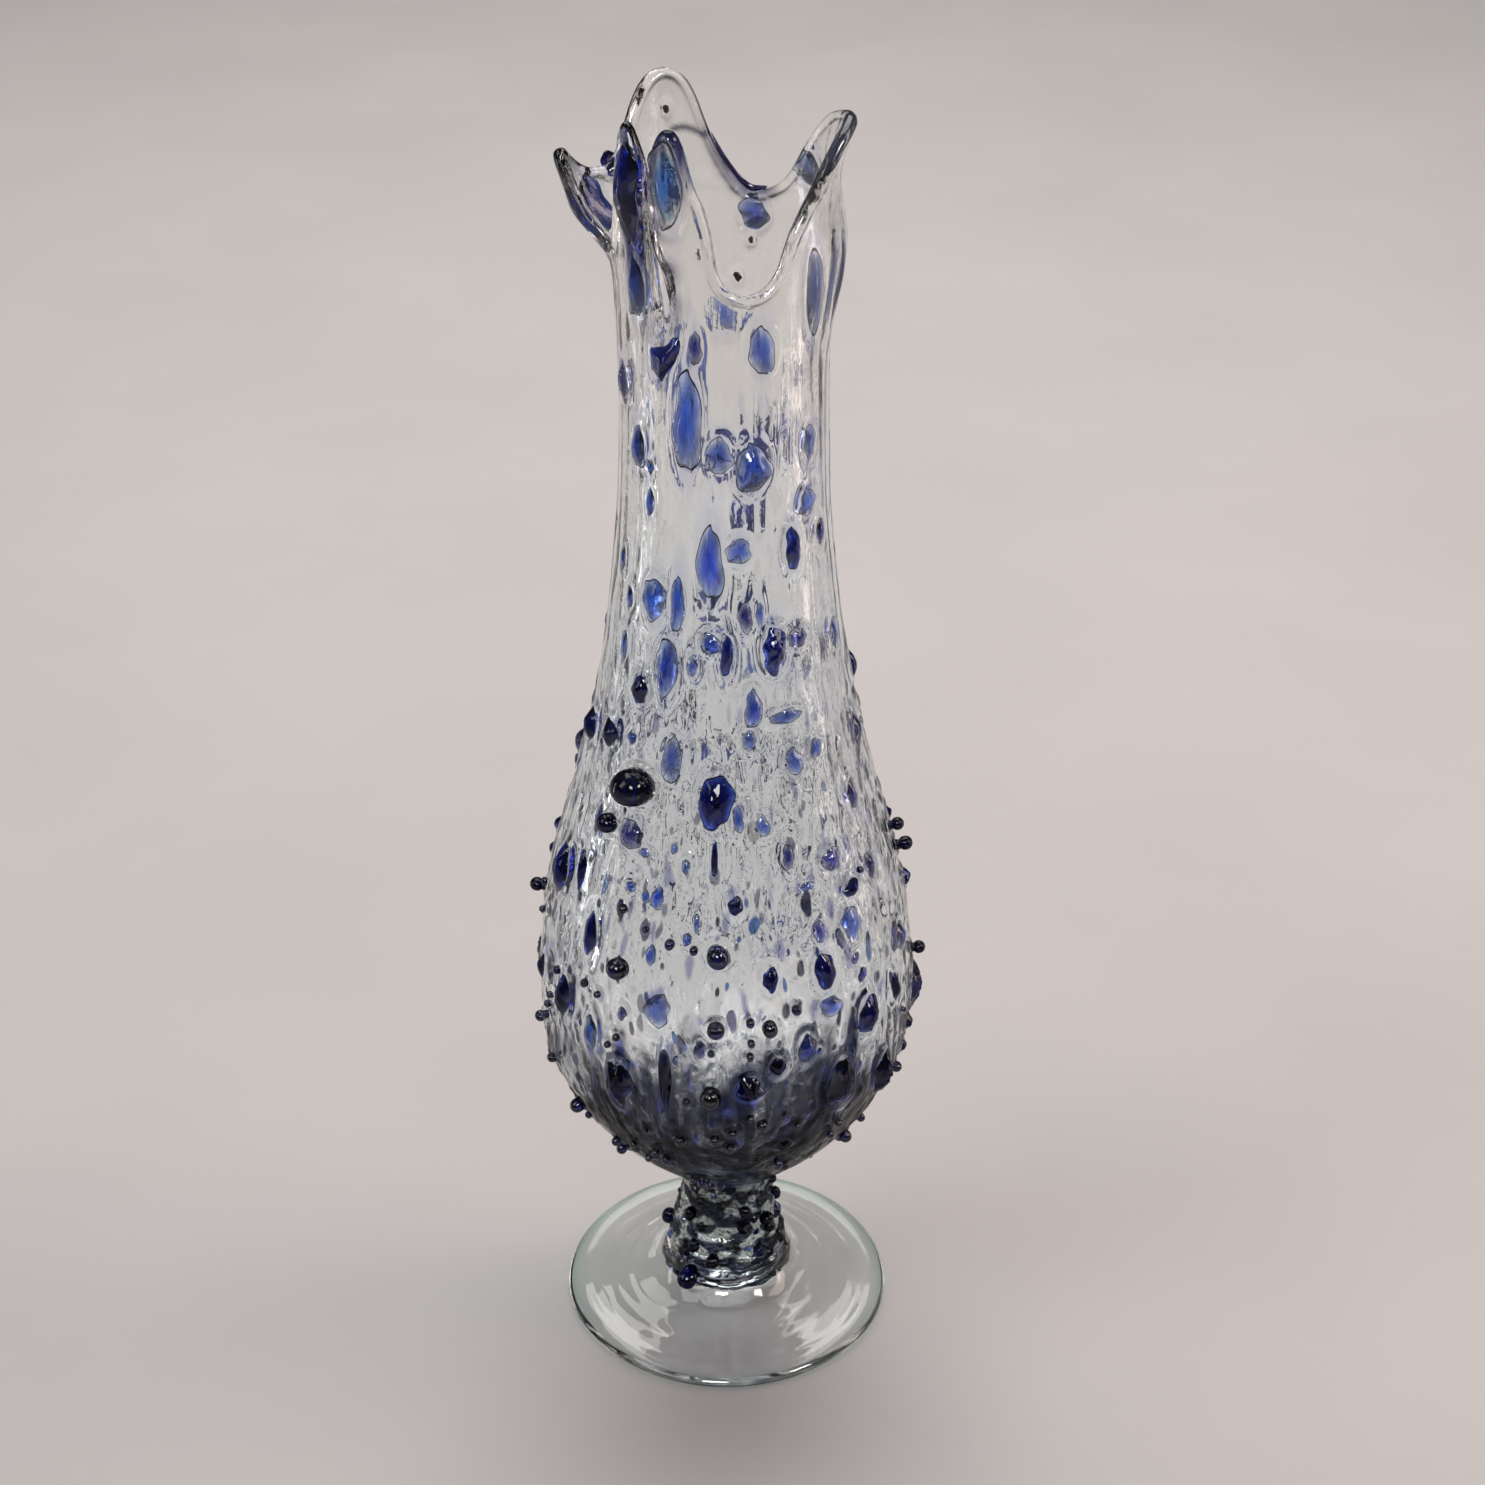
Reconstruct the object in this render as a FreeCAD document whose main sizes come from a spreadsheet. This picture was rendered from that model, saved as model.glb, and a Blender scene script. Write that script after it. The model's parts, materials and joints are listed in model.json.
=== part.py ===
import FreeCAD, Part
import Sketcher
import math
import os
import random

# Hand blown footed glass vase, millimetres, +Z up, origin at the centre of the foot's underside plane.
# A clear blown bubble is drawn up into a neck and cut and pulled into five lobes at the rim. It stands on a short
# solid stem and a spun foot. Crushed coloured glass is picked up on the outside: stretched chips on the neck,
# drops on the shoulder, beads and chunks on the belly, frit on the stem.

V = FreeCAD.Vector
doc = FreeCAD.newDocument("glass_vase")
sheet = doc.addObject("Spreadsheet::Sheet", "dims")
DIMS = [
    ("overall_height", 406.4),
    ("foot_radius", 53.4),
    ("foot_edge_height", 4.2),
    ("foot_rest_inner", 46.9),
    ("foot_recess_height", 9.4),
    ("seat_radius", 19.3),
    ("seat_height", 20.4),
    ("waist_radius", 13.9),
    ("waist_height", 47.0),
    ("collar_radius", 14.3),
    ("collar_height", 51.0),
    ("belly_radius", 58.2),
    ("neck_radius", 29.2),
    ("wall_bottom", 6.2),
    ("wall_belly", 2.8),
    ("wall_neck", 2.9),
    ("wall_rim", 3.3),
    ("chip_gap", 0.06),
    ("drop_length", 8.6),
    ("drop_width", 6.4),
]
for row, (alias, value) in enumerate(DIMS, start=1):
    sheet.set("A%d" % row, alias)
    sheet.set("B%d" % row, "%g" % value)
    sheet.setAlias("B%d" % row, alias)
doc.recompute()
D = {alias: float(sheet.get(alias)) for alias, _ in DIMS}

# ---------------------------------------------------------------- helpers


def table(xs, ys):
    """Monotone cubic through the stations."""
    n = len(xs)
    dx = [xs[i + 1] - xs[i] for i in range(n - 1)]
    sl = [(ys[i + 1] - ys[i]) / dx[i] for i in range(n - 1)]
    m = [sl[0]] + [0.0] * (n - 2) + [sl[-1]]
    for i in range(1, n - 1):
        if sl[i - 1] * sl[i] > 0:
            w1 = 2 * dx[i] + dx[i - 1]
            w2 = dx[i] + 2 * dx[i - 1]
            m[i] = (w1 + w2) / (w1 / sl[i - 1] + w2 / sl[i])

    def f(x):
        if x <= xs[0]:
            return ys[0]
        if x >= xs[-1]:
            return ys[-1]
        lo, hi = 0, n - 1
        while hi - lo > 1:
            mid = (lo + hi) // 2
            if xs[mid] <= x:
                lo = mid
            else:
                hi = mid
        t = (x - xs[lo]) / dx[lo]
        a = 2 * t**3 - 3 * t**2 + 1
        b = t**3 - 2 * t**2 + t
        c = -2 * t**3 + 3 * t**2
        d = t**3 - t**2
        return a * ys[lo] + b * dx[lo] * m[lo] + c * ys[hi] + d * dx[lo] * m[hi]

    return f


def smooth(t):
    t = max(0.0, min(1.0, t))
    return t * t * (3 - 2 * t)


def closed_surface(poles):
    """Cubic B-spline, periodic round the piece, clamped from its first row of poles to its last."""
    nu, nv = len(poles), len(poles[0])
    surf = Part.BSplineSurface()
    surf.buildFromPolesMultsKnots(
        poles,
        [1] * (nu + 1),
        [4] + [1] * (nv - 4) + [4],
        [float(i) for i in range(nu + 1)],
        [float(i) for i in range(nv - 2)],
        True,
        False,
        3,
        3,
    )
    return surf


def role(body, name):
    for o in body.Origin.OriginFeatures:
        if o.Role == name:
            return o
    raise RuntimeError("no origin feature " + name)


# ---------------------------------------------------------------- outside shape of the bubble
# Stations of height and outside radius for a vase 398.4 units tall, scaled by overall_height.
K = D["overall_height"] / 398.4
PZ = [50, 54, 60, 66, 74, 84, 96, 110, 126, 144, 164, 186, 210, 236, 264, 292, 322, 345, 360, 375, 398]
PR = [14.0, 19.2, 25.2, 31.2, 38.8, 46.1, 52.4, 56.6, 57.05, 55.7, 52.2, 46.6, 40.4, 35.1, 31.4, 29.1, 28.6, 29.0, 29.9, 30.8, 31.6]
_kb = D["belly_radius"] / (57.05 * K)
_kn = D["neck_radius"] / (28.6 * K)
PR = [r * (_kb + (_kn - _kb) * smooth((z - 150.0) / 120.0)) for z, r in zip(PZ, PR)]
PR[0] = D["collar_radius"] / K
profile = table(PZ, PR)

# Flares of the two pulled lips: extra radius against height, spread over an arc about each lip's middle.
lip_left = table([350, 354, 357, 360, 363, 366.5, 371, 376, 381.5, 386], [0, 0.3, 1.4, 3.6, 5.9, 8.2, 10.1, 11.4, 12.6, 12.9])
lip_right = table([330, 338, 345.5, 353, 359.6, 365, 370.6, 376, 381, 386, 392, 397], [0, 0.8, 1.9, 2.8, 3.2, 2.4, 1.2, 0.4, 0.5, 1.5, 3.2, 3.8])

# Height of the rim edge against azimuth. Azimuth 0 faces -Y and +90 faces +X.
RIM = [
    (-180, 371.9), (-175, 377), (-170, 383.5), (-165, 390.5), (-160, 395), (-154, 397.6), (-147, 398.6), (-140, 397.8),
    (-134, 395.8), (-128, 392.2), (-123, 387.8), (-118, 382.5), (-113, 378.2), (-108, 376.6), (-104, 376.8), (-100, 378.6),
    (-96.5, 381.8), (-93, 384.2), (-90, 384.6), (-87.5, 383), (-85, 377.5), (-82.5, 368.5), (-80, 362), (-77, 359.8),
    (-74, 361.5), (-71, 366.5), (-68, 373.5), (-65, 381), (-61, 389.5), (-57.5, 395.6), (-54.5, 397.4), (-51, 396.6),
    (-47.5, 394.2), (-44.5, 391.4), (-42.4, 389), (-41, 386), (-40.2, 378), (-39.8, 365), (-39.5, 352), (-39.1, 347.5),
    (-38.6, 346.2), (-38.1, 347.5), (-37.7, 352), (-37.4, 365), (-37.1, 378), (-36.4, 387), (-35.2, 392.3), (-33.5, 395),
    (-31, 397.2), (-28, 398.2), (-25, 398.1), (-22, 396.8), (-19.5, 394), (-17.5, 390.5), (-15.5, 386.5), (-12.5, 382),
    (-9.5, 378.8), (-7, 374), (-5, 369.5), (-3, 362.5), (0, 358.2), (4, 356), (8, 354.8), (12.5, 354.3), (17, 354.6),
    (21.5, 355.6), (26, 357.7), (30, 361), (33, 365.5), (36.5, 369.8), (41, 373.4), (47, 377.2), (53, 380.6), (60, 384.6),
    (67, 388.3), (74, 391.4), (81, 393.2), (88, 394), (95, 393.6), (102, 392.6), (108, 391.4), (114, 389.8), (120, 386.8),
    (126, 382.8), (132, 378.6), (138, 373.4), (144, 369), (150, 366.2), (157, 364.4), (164.5, 363.5), (170, 365), (175, 368),
    (180, 371.9),
]
rim_height = table([a for a, _ in RIM], [b for _, b in RIM])


def swing(s, z):
    """The front tongue's foot is pinched in, which opens the slot beside it into a round keyhole."""
    if s <= -40.0 or s >= -12.0:
        return 0.0
    g = (s + 40.0) / 2.6 if s < -37.4 else 1.0 - smooth((s + 37.4) / 25.4)
    w = smooth((z - 328.0) / 18.0) * (1.0 - smooth((z - 355.0) / 15.0))
    return 11.0 * g * w


def outside(s, z):
    """Point of the nominal outside wall; s is azimuth in degrees, z is height in units."""
    az = s + swing(s, z)
    r = profile(z)
    if z > 330:
        a = (az + 90.0 + 180.0) % 360.0 - 180.0
        b = (az - 90.0 + 180.0) % 360.0 - 180.0
        r += lip_left(z) * math.exp(-0.5 * (a / (9.0 if a > 0 else 12.0)) ** 2)
        r += lip_right(z) * math.exp(-0.5 * (b / 30.0) ** 2)
    t = math.radians(az)
    return V(r * math.sin(t) * K, -r * math.cos(t) * K, z * K)


def outward(s, z):
    ds = outside(s + 0.6, z) - outside(s - 0.6, z)
    dz = outside(s, z + 0.5) - outside(s, z - 0.5)
    n = ds.cross(dz)
    n.normalize()
    return n


wall_table = table(
    [50, 62, 74, 96, 126, 210, 300, 360, 400],
    [D["wall_bottom"], D["wall_bottom"], D["wall_bottom"] * 0.72, D["wall_belly"] * 1.2, D["wall_belly"], D["wall_belly"], D["wall_neck"], D["wall_rim"], D["wall_rim"]],
)

# ---------------------------------------------------------------- bubble with lobed rim
COLS = [float(s) for s in range(-180, -45, 3)] + [-45.0 + 0.6 * i for i in range(20)] + [float(s) for s in range(-33, 180, 3)]
BODY_ROWS = [50.0, 52.0, 55.0, 59.0, 64.0, 69.5, 75.5, 82.0, 89.0, 96.5, 104.0, 112.0, 120.0, 128.0, 137.0, 147.0, 158.0,
             170.0, 182.0, 194.0, 206.0, 219.0, 233.0, 248.0, 264.0, 280.0, 296.0, 311.0, 324.0]
RIM_ROWS = [0.14, 0.27, 0.39, 0.5, 0.6, 0.69, 0.77, 0.84, 0.9, 0.945, 0.975, 0.992]
edge = []
for i in range(-1800, 1800, 4):
    s = i / 10.0
    z = rim_height(s)
    edge.append((math.radians(s + swing(s, z)) * 30.0, z))


def from_edge(s, z):
    x = math.radians(s + swing(s, z)) * 30.0
    best = 1e9
    for ex, ez in edge:
        dx = ex - x
        if dx > 94.2:
            dx -= 188.5
        if dx < -94.2:
            dx += 188.5
        d = dx * dx + (ez - z) ** 2
        if d < best:
            best = d
    return math.sqrt(best) * K


outer_rows, inner_rows = [], []
for z in BODY_ROWS:
    outer_rows.append([outside(s, z) for s in COLS])
    if z >= 82.0:
        inner_rows.append([outside(s, z) - outward(s, z) * wall_table(z) for s in COLS])
for f in RIM_ROWS:
    o, n_ = [], []
    for s in COLS:
        z = 324.0 + (rim_height(s) - 324.0) * f
        p, n, t = outside(s, z), outward(s, z), wall_table(z)
        d = from_edge(s, z)
        hh = t / 2 if d >= t / 2 else math.sqrt(max(0.0, (t / 2) ** 2 - (t / 2 - d) ** 2))
        o.append(p - n * (t / 2 - hh))
        n_.append(p - n * (t / 2 + hh))
    outer_rows.append(o)
    inner_rows.append(n_)
lip = []
for s in COLS:
    z = rim_height(s)
    lip.append(outside(s, z) - outward(s, z) * (wall_table(z) / 2))
# Floor of the bubble inside, from the wall down to the axis.
floor_rows = []
for r, z in [(36.2, 76.6), (31.2, 71.4), (24.5, 66.4), (16.5, 62.4), (8.0, 60.2), (2.5, 59.8), (0.0, 59.8)]:
    floor_rows.append([V(r * K * math.sin(math.radians(s)), -r * K * math.cos(math.radians(s)), z * K) for s in COLS])
rows = outer_rows + [lip] + inner_rows[::-1] + floor_rows
# Sharpen the poles so that the surface, not its control net, follows the stations.
n_out = len(BODY_ROWS)
sharp = [list(r) for r in rows]
for j in list(range(2, n_out)) + list(range(len(rows) - n_out - 1, len(rows) - 4)):
    for i in range(len(COLS)):
        p = rows[j][i]
        sharp[j][i] = p + (p - (rows[j - 1][i] + p * 4 + rows[j + 1][i]) * (1 / 6.0))
surface = closed_surface([[sharp[j][i] for j in range(len(rows))] for i in range(len(COLS))])
skin = surface.toShape()
base_edge = min((e for e in skin.Edges if not e.Degenerated and abs(e.BoundBox.ZLength) < 1e-6), key=lambda e: e.BoundBox.ZMin)
base = Part.Face(Part.Wire([base_edge]))
bubble = Part.Solid(Part.Shell([skin, base]))
if not bubble.isValid():
    base.reverse()
    bubble = Part.Solid(Part.Shell([skin, base]))
if not bubble.isValid():
    bubble.fix(1e-5, 1e-6, 1e-4)
if bubble.Volume < 0:
    bubble.reverse()
body_bubble = doc.addObject("Part::Feature", "body_bubble")
body_bubble.Label = "body_bubble"
body_bubble.Shape = bubble
body_bubble.Placement = FreeCAD.Placement()

# ---------------------------------------------------------------- stem and foot, turned profiles


def turned(label, pts_top, pts_bottom, top_flat, bottom_flat, bind):
    """A revolved piece. pts_top runs from the top flat's edge down to the bottom flat; pts_bottom, if any, closes the recess."""
    body = doc.addObject("PartDesign::Body", label)
    body.Label = label
    sk = body.newObject("Sketcher::SketchObject", label + "_profile")
    sk.AttachmentSupport = [(role(body, "XZ_Plane"), "")]
    sk.MapMode = "FlatFace"
    side = Part.BSplineCurve()
    side.interpolate([V(x, z, 0) for x, z in pts_top])
    g_side = sk.addGeometry(side, False)
    x1, z1 = pts_top[0]
    x2, z2 = pts_top[-1]
    axis_low = pts_bottom[-1][1] if pts_bottom else z2
    g_top = sk.addGeometry(Part.LineSegment(V(0, top_flat, 0), V(x1, z1, 0)), False)
    g_axis = sk.addGeometry(Part.LineSegment(V(0, axis_low, 0), V(0, top_flat, 0)), False)
    if pts_bottom:
        bx, bz = pts_bottom[0]
        g_rest = sk.addGeometry(Part.LineSegment(V(x2, z2, 0), V(bx, bz, 0)), False)
        under = Part.BSplineCurve()
        under.interpolate([V(x, z, 0) for x, z in pts_bottom])
        g_under = sk.addGeometry(under, False)
    else:
        g_rest = sk.addGeometry(Part.LineSegment(V(x2, z2, 0), V(0, z2, 0)), False)
        g_under = None
    C = Sketcher.Constraint
    sk.addConstraint(C("Coincident", g_top, 2, g_side, 1))
    sk.addConstraint(C("Coincident", g_side, 2, g_rest, 1))
    sk.addConstraint(C("Coincident", g_top, 1, g_axis, 2))
    if g_under is not None:
        sk.addConstraint(C("Coincident", g_rest, 2, g_under, 1))
        sk.addConstraint(C("Coincident", g_under, 2, g_axis, 1))
    else:
        sk.addConstraint(C("Coincident", g_rest, 2, g_axis, 1))
    sk.addConstraint(C("PointOnObject", g_axis, 1, -2))
    sk.addConstraint(C("PointOnObject", g_axis, 2, -2))
    sk.addConstraint(C("Horizontal", g_top))
    if pts_bottom:
        sk.addConstraint(C("PointOnObject", g_rest, 1, -1))
        sk.addConstraint(C("PointOnObject", g_rest, 2, -1))
    else:
        sk.addConstraint(C("Horizontal", g_rest))
    ids = {"top": (g_top, 2), "rest": (g_rest, 1), "rest_in": (g_rest, 2), "axis_low": (g_axis, 1)}
    for key, axis, name, expr, value in bind:
        g, end = ids[key]
        kind = "DistanceX" if axis == "x" else "DistanceY"
        k = sk.addConstraint(C(kind, -1, 1, g, end, value))
        sk.renameConstraint(k, name)
        sk.setExpression("Constraints." + name, expr)
    rev = body.newObject("PartDesign::Revolution", label + "_turned")
    rev.Profile = sk
    rev.ReferenceAxis = (sk, ["V_Axis"])
    rev.Angle = 360.0
    body.Tip = rev
    doc.recompute()
    return body


sr, sh_ = D["seat_radius"], D["seat_height"]
wr, wh = D["waist_radius"], D["waist_height"]
cr, ch = D["collar_radius"], D["collar_height"]
stem_side = [
    (cr, ch), (wr, wh), (wr + 0.3, wh - 4.0), (wr + 1.3, wh - 10.0), (wr + 2.6, wh - 15.5), (sr - 1.4, sh_ + 5.5), (sr, sh_),
]
stem_knop = turned(
    "stem_knop", stem_side, None, ch, sh_,
    [
        ("top", "x", "collar_r", "dims.collar_radius", cr),
        ("top", "y", "collar_z", "dims.collar_height", ch),
        ("rest", "x", "seat_r", "dims.seat_radius", sr),
        ("rest", "y", "seat_z", "dims.seat_height", sh_),
    ],
)
fr, fe = D["foot_radius"], D["foot_edge_height"]
fi, fh = D["foot_rest_inner"], D["foot_recess_height"]
foot_side = [
    (sr, sh_), (sr + 1.5, sh_ - 4.6), (sr + 4.2, sh_ - 8.2), (sr + 8.6, sh_ - 11.0), (sr + 14.5, fe + 3.4), (fr - 13.0, fe + 1.7),
    (fr - 6.5, fe + 0.75), (fr - 2.6, fe), (fr - 0.55, fe - 1.3), (fr, fe * 0.48), (fr - 0.75, fe * 0.17), (fr - 2.4, 0.0),
]
foot_under = [(fi, 0.0), (fi - 5.5, 1.0), (fi - 13.0, 3.2), (fi - 22.0, 6.0), (fi - 31.0, 8.3), (fi - 40.0, fh - 0.2), (0.0, fh)]
foot_disc = turned(
    "foot_disc", foot_side, foot_under, sh_, 0.0,
    [
        ("top", "x", "seat_r", "dims.seat_radius", sr),
        ("top", "y", "seat_z", "dims.seat_height", sh_),
        ("rest", "x", "rest_outer", "dims.foot_radius - 2.4", fr - 2.4),
        ("rest_in", "x", "rest_inner", "dims.foot_rest_inner", fi),
        ("axis_low", "y", "recess", "dims.foot_recess_height", fh),
    ],
)

# ---------------------------------------------------------------- big blue drop where the stem meets the foot
blob = doc.addObject("Part::Ellipsoid", "drop_blob")
blob.setExpression("Radius1", "dims.drop_width / 2 * 1 mm")
blob.setExpression("Radius2", "dims.drop_length / 2 * 1 mm")
blob.setExpression("Radius3", "dims.drop_width / 2 * 1 mm")
blob.Angle1, blob.Angle2, blob.Angle3 = -90, 90, 360
drop_az = math.radians(-33.0)
drop_r = sr + 3.4
blob.Placement = FreeCAD.Placement(
    V(drop_r * math.sin(drop_az), -drop_r * math.cos(drop_az), sh_ - 2.6),
    FreeCAD.Rotation(V(0, 0, 1), math.degrees(drop_az)) * FreeCAD.Rotation(V(1, 0, 0), 35),
)
cut_foot = doc.addObject("Part::Cut", "drop_cut_foot")
cut_foot.Base, cut_foot.Tool = blob, foot_disc
stem_drop = doc.addObject("Part::Cut", "stem_drop")
stem_drop.Label = "stem_drop"
stem_drop.Base, stem_drop.Tool = cut_foot, stem_knop
doc.recompute()

# ---------------------------------------------------------------- coloured glass picked up on the outside
LENS = [(0, 0), (0.62, 0), (1.04, 0.0), (1.07, 0.45), (0.74, 0.98), (0.3, 1.05), (0, 1.05)]
BEAD = [(0, 0), (0.45, 0), (0.86, 0.02), (1.30, 0.42), (1.12, 1.0), (0.5, 1.07), (0, 1.07)]
NUB = [(0, 0), (0.40, 0), (0.66, 0.02), (0.36, 0.30), (1.30, 0.52), (1.22, 1.0), (0.5, 1.08), (0, 1.08)]
GAP = D["chip_gap"]


def stem_radius(z):
    t = table([sh_, sh_ + 5.5, wh - 15.5, wh - 10.0, wh - 4.0, wh, ch], [sr, sr - 1.4, wr + 2.6, wr + 1.3, wr + 0.3, wr, cr])
    return t(z)


def on_wall(az, z):
    u = z / K
    return outside(az, u), outward(az, u)


def on_stem(az, z):
    t = math.radians(az)
    r = stem_radius(z)
    dr = (stem_radius(z + 0.4) - stem_radius(z - 0.4)) / 0.8
    n = V(math.sin(t), -math.cos(t), -dr)
    n.normalize()
    return V(r * math.sin(t), -r * math.cos(t), z), n


def chip(place, az, z, w, h, kind, rng, lean=0.0):
    """One solid of coloured glass lying on the wall: w round the wall, h up the wall, both in mm."""
    p0, n0 = place(az, z)
    r0 = math.hypot(p0.x, p0.y)
    climb = math.sqrt(max(0.04, 1.0 - n0.z**2))
    lens = kind in "cdvpskre"
    prof = LENS if lens else (NUB if kind == "N" else BEAD)
    small = min(w, h)
    tall = {"c": 0.26, "d": 0.34, "v": 0.2, "p": 0.12, "s": 0.4, "k": 0.45, "r": 0.14, "e": 0.3}.get(kind, 0.8) * small
    if kind == "N":
        tall = 1.45 * small
    if lens:
        tall = max(0.7 if kind in "prve" else 0.9, min(tall, 2.6))
    count = 9
    tail = {"c": 0.22, "d": 0.16, "p": 0.1, "s": 0.45, "r": 0.08}.get(kind, 0.05)
    ca, sa = math.cos(math.radians(lean)), math.sin(math.radians(lean))
    poles = []
    for i in range(count):
        a = 2 * math.pi * i / count
        wob = 1.0 + rng.uniform(-0.1, 0.1) * (1.6 if kind in "dk" else 0.6)
        col = []
        for rho, q in prof:
            x = rho * w / 2 * math.cos(a) * (1 - tail * math.sin(a)) * wob
            y = rho * h / 2 * math.sin(a) * wob
            x, y = x * ca - y * sa, x * sa + y * ca
            zz = z + y * climb
            if kind == "e":
                there = (az + math.degrees(x / r0) + 180.0) % 360.0 - 180.0
                zz += (rim_height(there) - rim_height((az + 180.0) % 360.0 - 180.0)) * K
            pz, _ = place(az, zz)
            rr = max(4.0, math.hypot(pz.x, pz.y))
            p, n = place(az + math.degrees(x / rr), zz)
            col.append(p + n * (GAP + q * tall))
        poles.append(col)
    for j in (0, len(prof) - 1):
        mid = V(0, 0, 0)
        for col in poles:
            mid = mid + col[j]
        mid = mid * (1.0 / count)
        for col in poles:
            col[j] = mid
    solid = Part.Solid(Part.Shell([closed_surface(poles).toShape()]))
    if solid.Volume < 0:
        solid.reverse()
    return solid


# Lists: azimuth, height, width, length, kind.
# kinds: c cobalt, d navy, k chunk, b B beads, N ball on a neck, v violet, p pale wash, s drip, r rim streak, e band along the rim
RIM_CHIPS = [
    (-52.0, 386.5, 10.0, 26.0, "d", 3), (-49.5, 361.5, 7.8, 21.5, "c", -4), (-27.0, 391.5, 9.4, 22.5, "c", 0),
    (-101.0, 374.5, 9.2, 17.0, "c", 6), (-113.0, 384.0, 5.0, 6.0, "d", 0),
]
RIM_WASH = [
    (128.0, 380.5, 12.0, 9.5, "r", 8), (163.0, 364.6, 8.5, 9.5, "v", 0), (172.0, 373.6, 15.0, 2.6, "e", 0),
    (52.0, 359.0, 6.5, 26.0, "r", 6), (76.0, 359.0, 5.0, 30.0, "r", 0), (20.9, 346.2, 7.1, 14.4, "p", 0),
]
RIM_SPECKS = [(-168.1, 352.9, 3.9, 2.2, "k", 15), (172.1, 345.6, 2.2, 2.8, "k", 0), (164.6, 356.6, 1.5, 1.9, "k", 0), (-149.4, 394.6, 1.5, 2.2, "b", 0)]
NECK = [(-34.6, 342.9, 6.7, 12.1, 'd'), (-68.1, 330.6, 6.6, 11.8, 'v'), (-14.8, 347.2, 5.5, 12.9, 'v'), (-19.3, 326.3, 8.0, 30.6, 'c'), (-2.1, 316.5, 7.6, 10.6, 'p'), (16.1, 312.5, 9.5, 14.7, 'c'), (-51.8, 314.5, 5.7, 13.4, 'c'), (-42.2, 309.5, 2.5, 4.5, 'c'), (-42.1, 299.4, 3.2, 8.4, 'c'), (-6.9, 284.8, 7.2, 22.2, 'c'), (8.2, 287.9, 6.7, 7.7, 'p'), (38.8, 286.1, 5.4, 12.0, 'd'), (53.5, 315.3, 4.9, 10.4, 'p'), (51.3, 297.7, 6.4, 8.5, 'p'), (61.8, 286.7, 4.7, 7.6, 'v'), (-37.5, 270.3, 7.5, 13.7, 'c'), (-23.4, 271.4, 4.2, 16.5, 'c'), (-9.8, 273.4, 3.9, 5.4, 'd'), (10.8, 268.2, 4.2, 9.0, 'v'), (18.4, 268.3, 2.3, 7.5, 'p'), (-6.1, 260.7, 5.1, 6.6, 'c'), (1.6, 257.2, 5.6, 18.0, 'd'), (25.0, 257.4, 7.3, 12.7, 'k'), (-27.7, 250.8, 6.9, 18.2, 'c'), (38.6, 258.9, 8.2, 7.6, 'v'), (-56.0, 252.9, 3.5, 8.7, 'p'), (-54.6, 268.1, 3.4, 6.2, 'p'), (67.5, 253.6, 5.1, 9.5, 'p'), (-64.5, 277.8, 3.0, 7.4, 'p'), (-14.7, 253.1, 2.9, 5.4, 'p')]
SHOULDER = [(-41.6, 242.8, 5.7, 8.6, 'd'), (13.4, 240.9, 5.2, 10.9, 'c'), (-56.8, 224.9, 6.1, 8.8, 'd'), (-75.5, 221.3, 6.7, 10.5, 'd'), (-42.8, 227.2, 3.6, 3.7, 'c'), (-22.3, 224.6, 6.1, 13.6, 'p'), (28.5, 236.7, 10.1, 4.3, 'p'), (11.0, 231.6, 4.0, 6.0, 'p'), (30.7, 222.9, 5.5, 8.5, 'p'), (42.2, 224.6, 4.3, 6.2, 'p'), (-37.0, 214.3, 11.6, 10.2, 'B'), (-3.5, 213.5, 9.1, 17.4, 'd'), (-47.8, 200.0, 6.0, 5.3, 'b'), (-36.8, 199.6, 8.4, 9.0, 'v'), (-54.5, 199.4, 4.2, 15.0, 'v'), (-70.1, 176.2, 8.2, 15.2, 'd'), (-56.5, 181.7, 3.9, 12.3, 'd'), (93.4, 159.9, 5.0, 5.9, 'd'), (93.0, 235.2, 4.8, 8.8, 'd'), (76.0, 220.1, 7.0, 11.5, 'v'), (58.7, 205.3, 4.9, 9.6, 'v'), (15.0, 206.0, 4.1, 6.0, 'p'), (41.0, 190.9, 7.1, 6.9, 'v'), (59.5, 182.3, 5.3, 8.5, 'v'), (47.3, 180.0, 5.6, 5.7, 'd'), (29.5, 185.5, 5.1, 3.1, 'p'), (23.6, 195.7, 3.7, 7.9, 'v'), (-13.6, 194.2, 2.4, 4.8, 'p'), (5.4, 208.7, 3.4, 9.6, 'p'), (-3.3, 197.2, 2.0, 10.2, 'd'), (-18.5, 198.9, 2.0, 3.6, 'p'), (-33.6, 184.7, 3.3, 3.7, 'c'), (-29.7, 195.7, 3.0, 3.1, 'p')]
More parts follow.
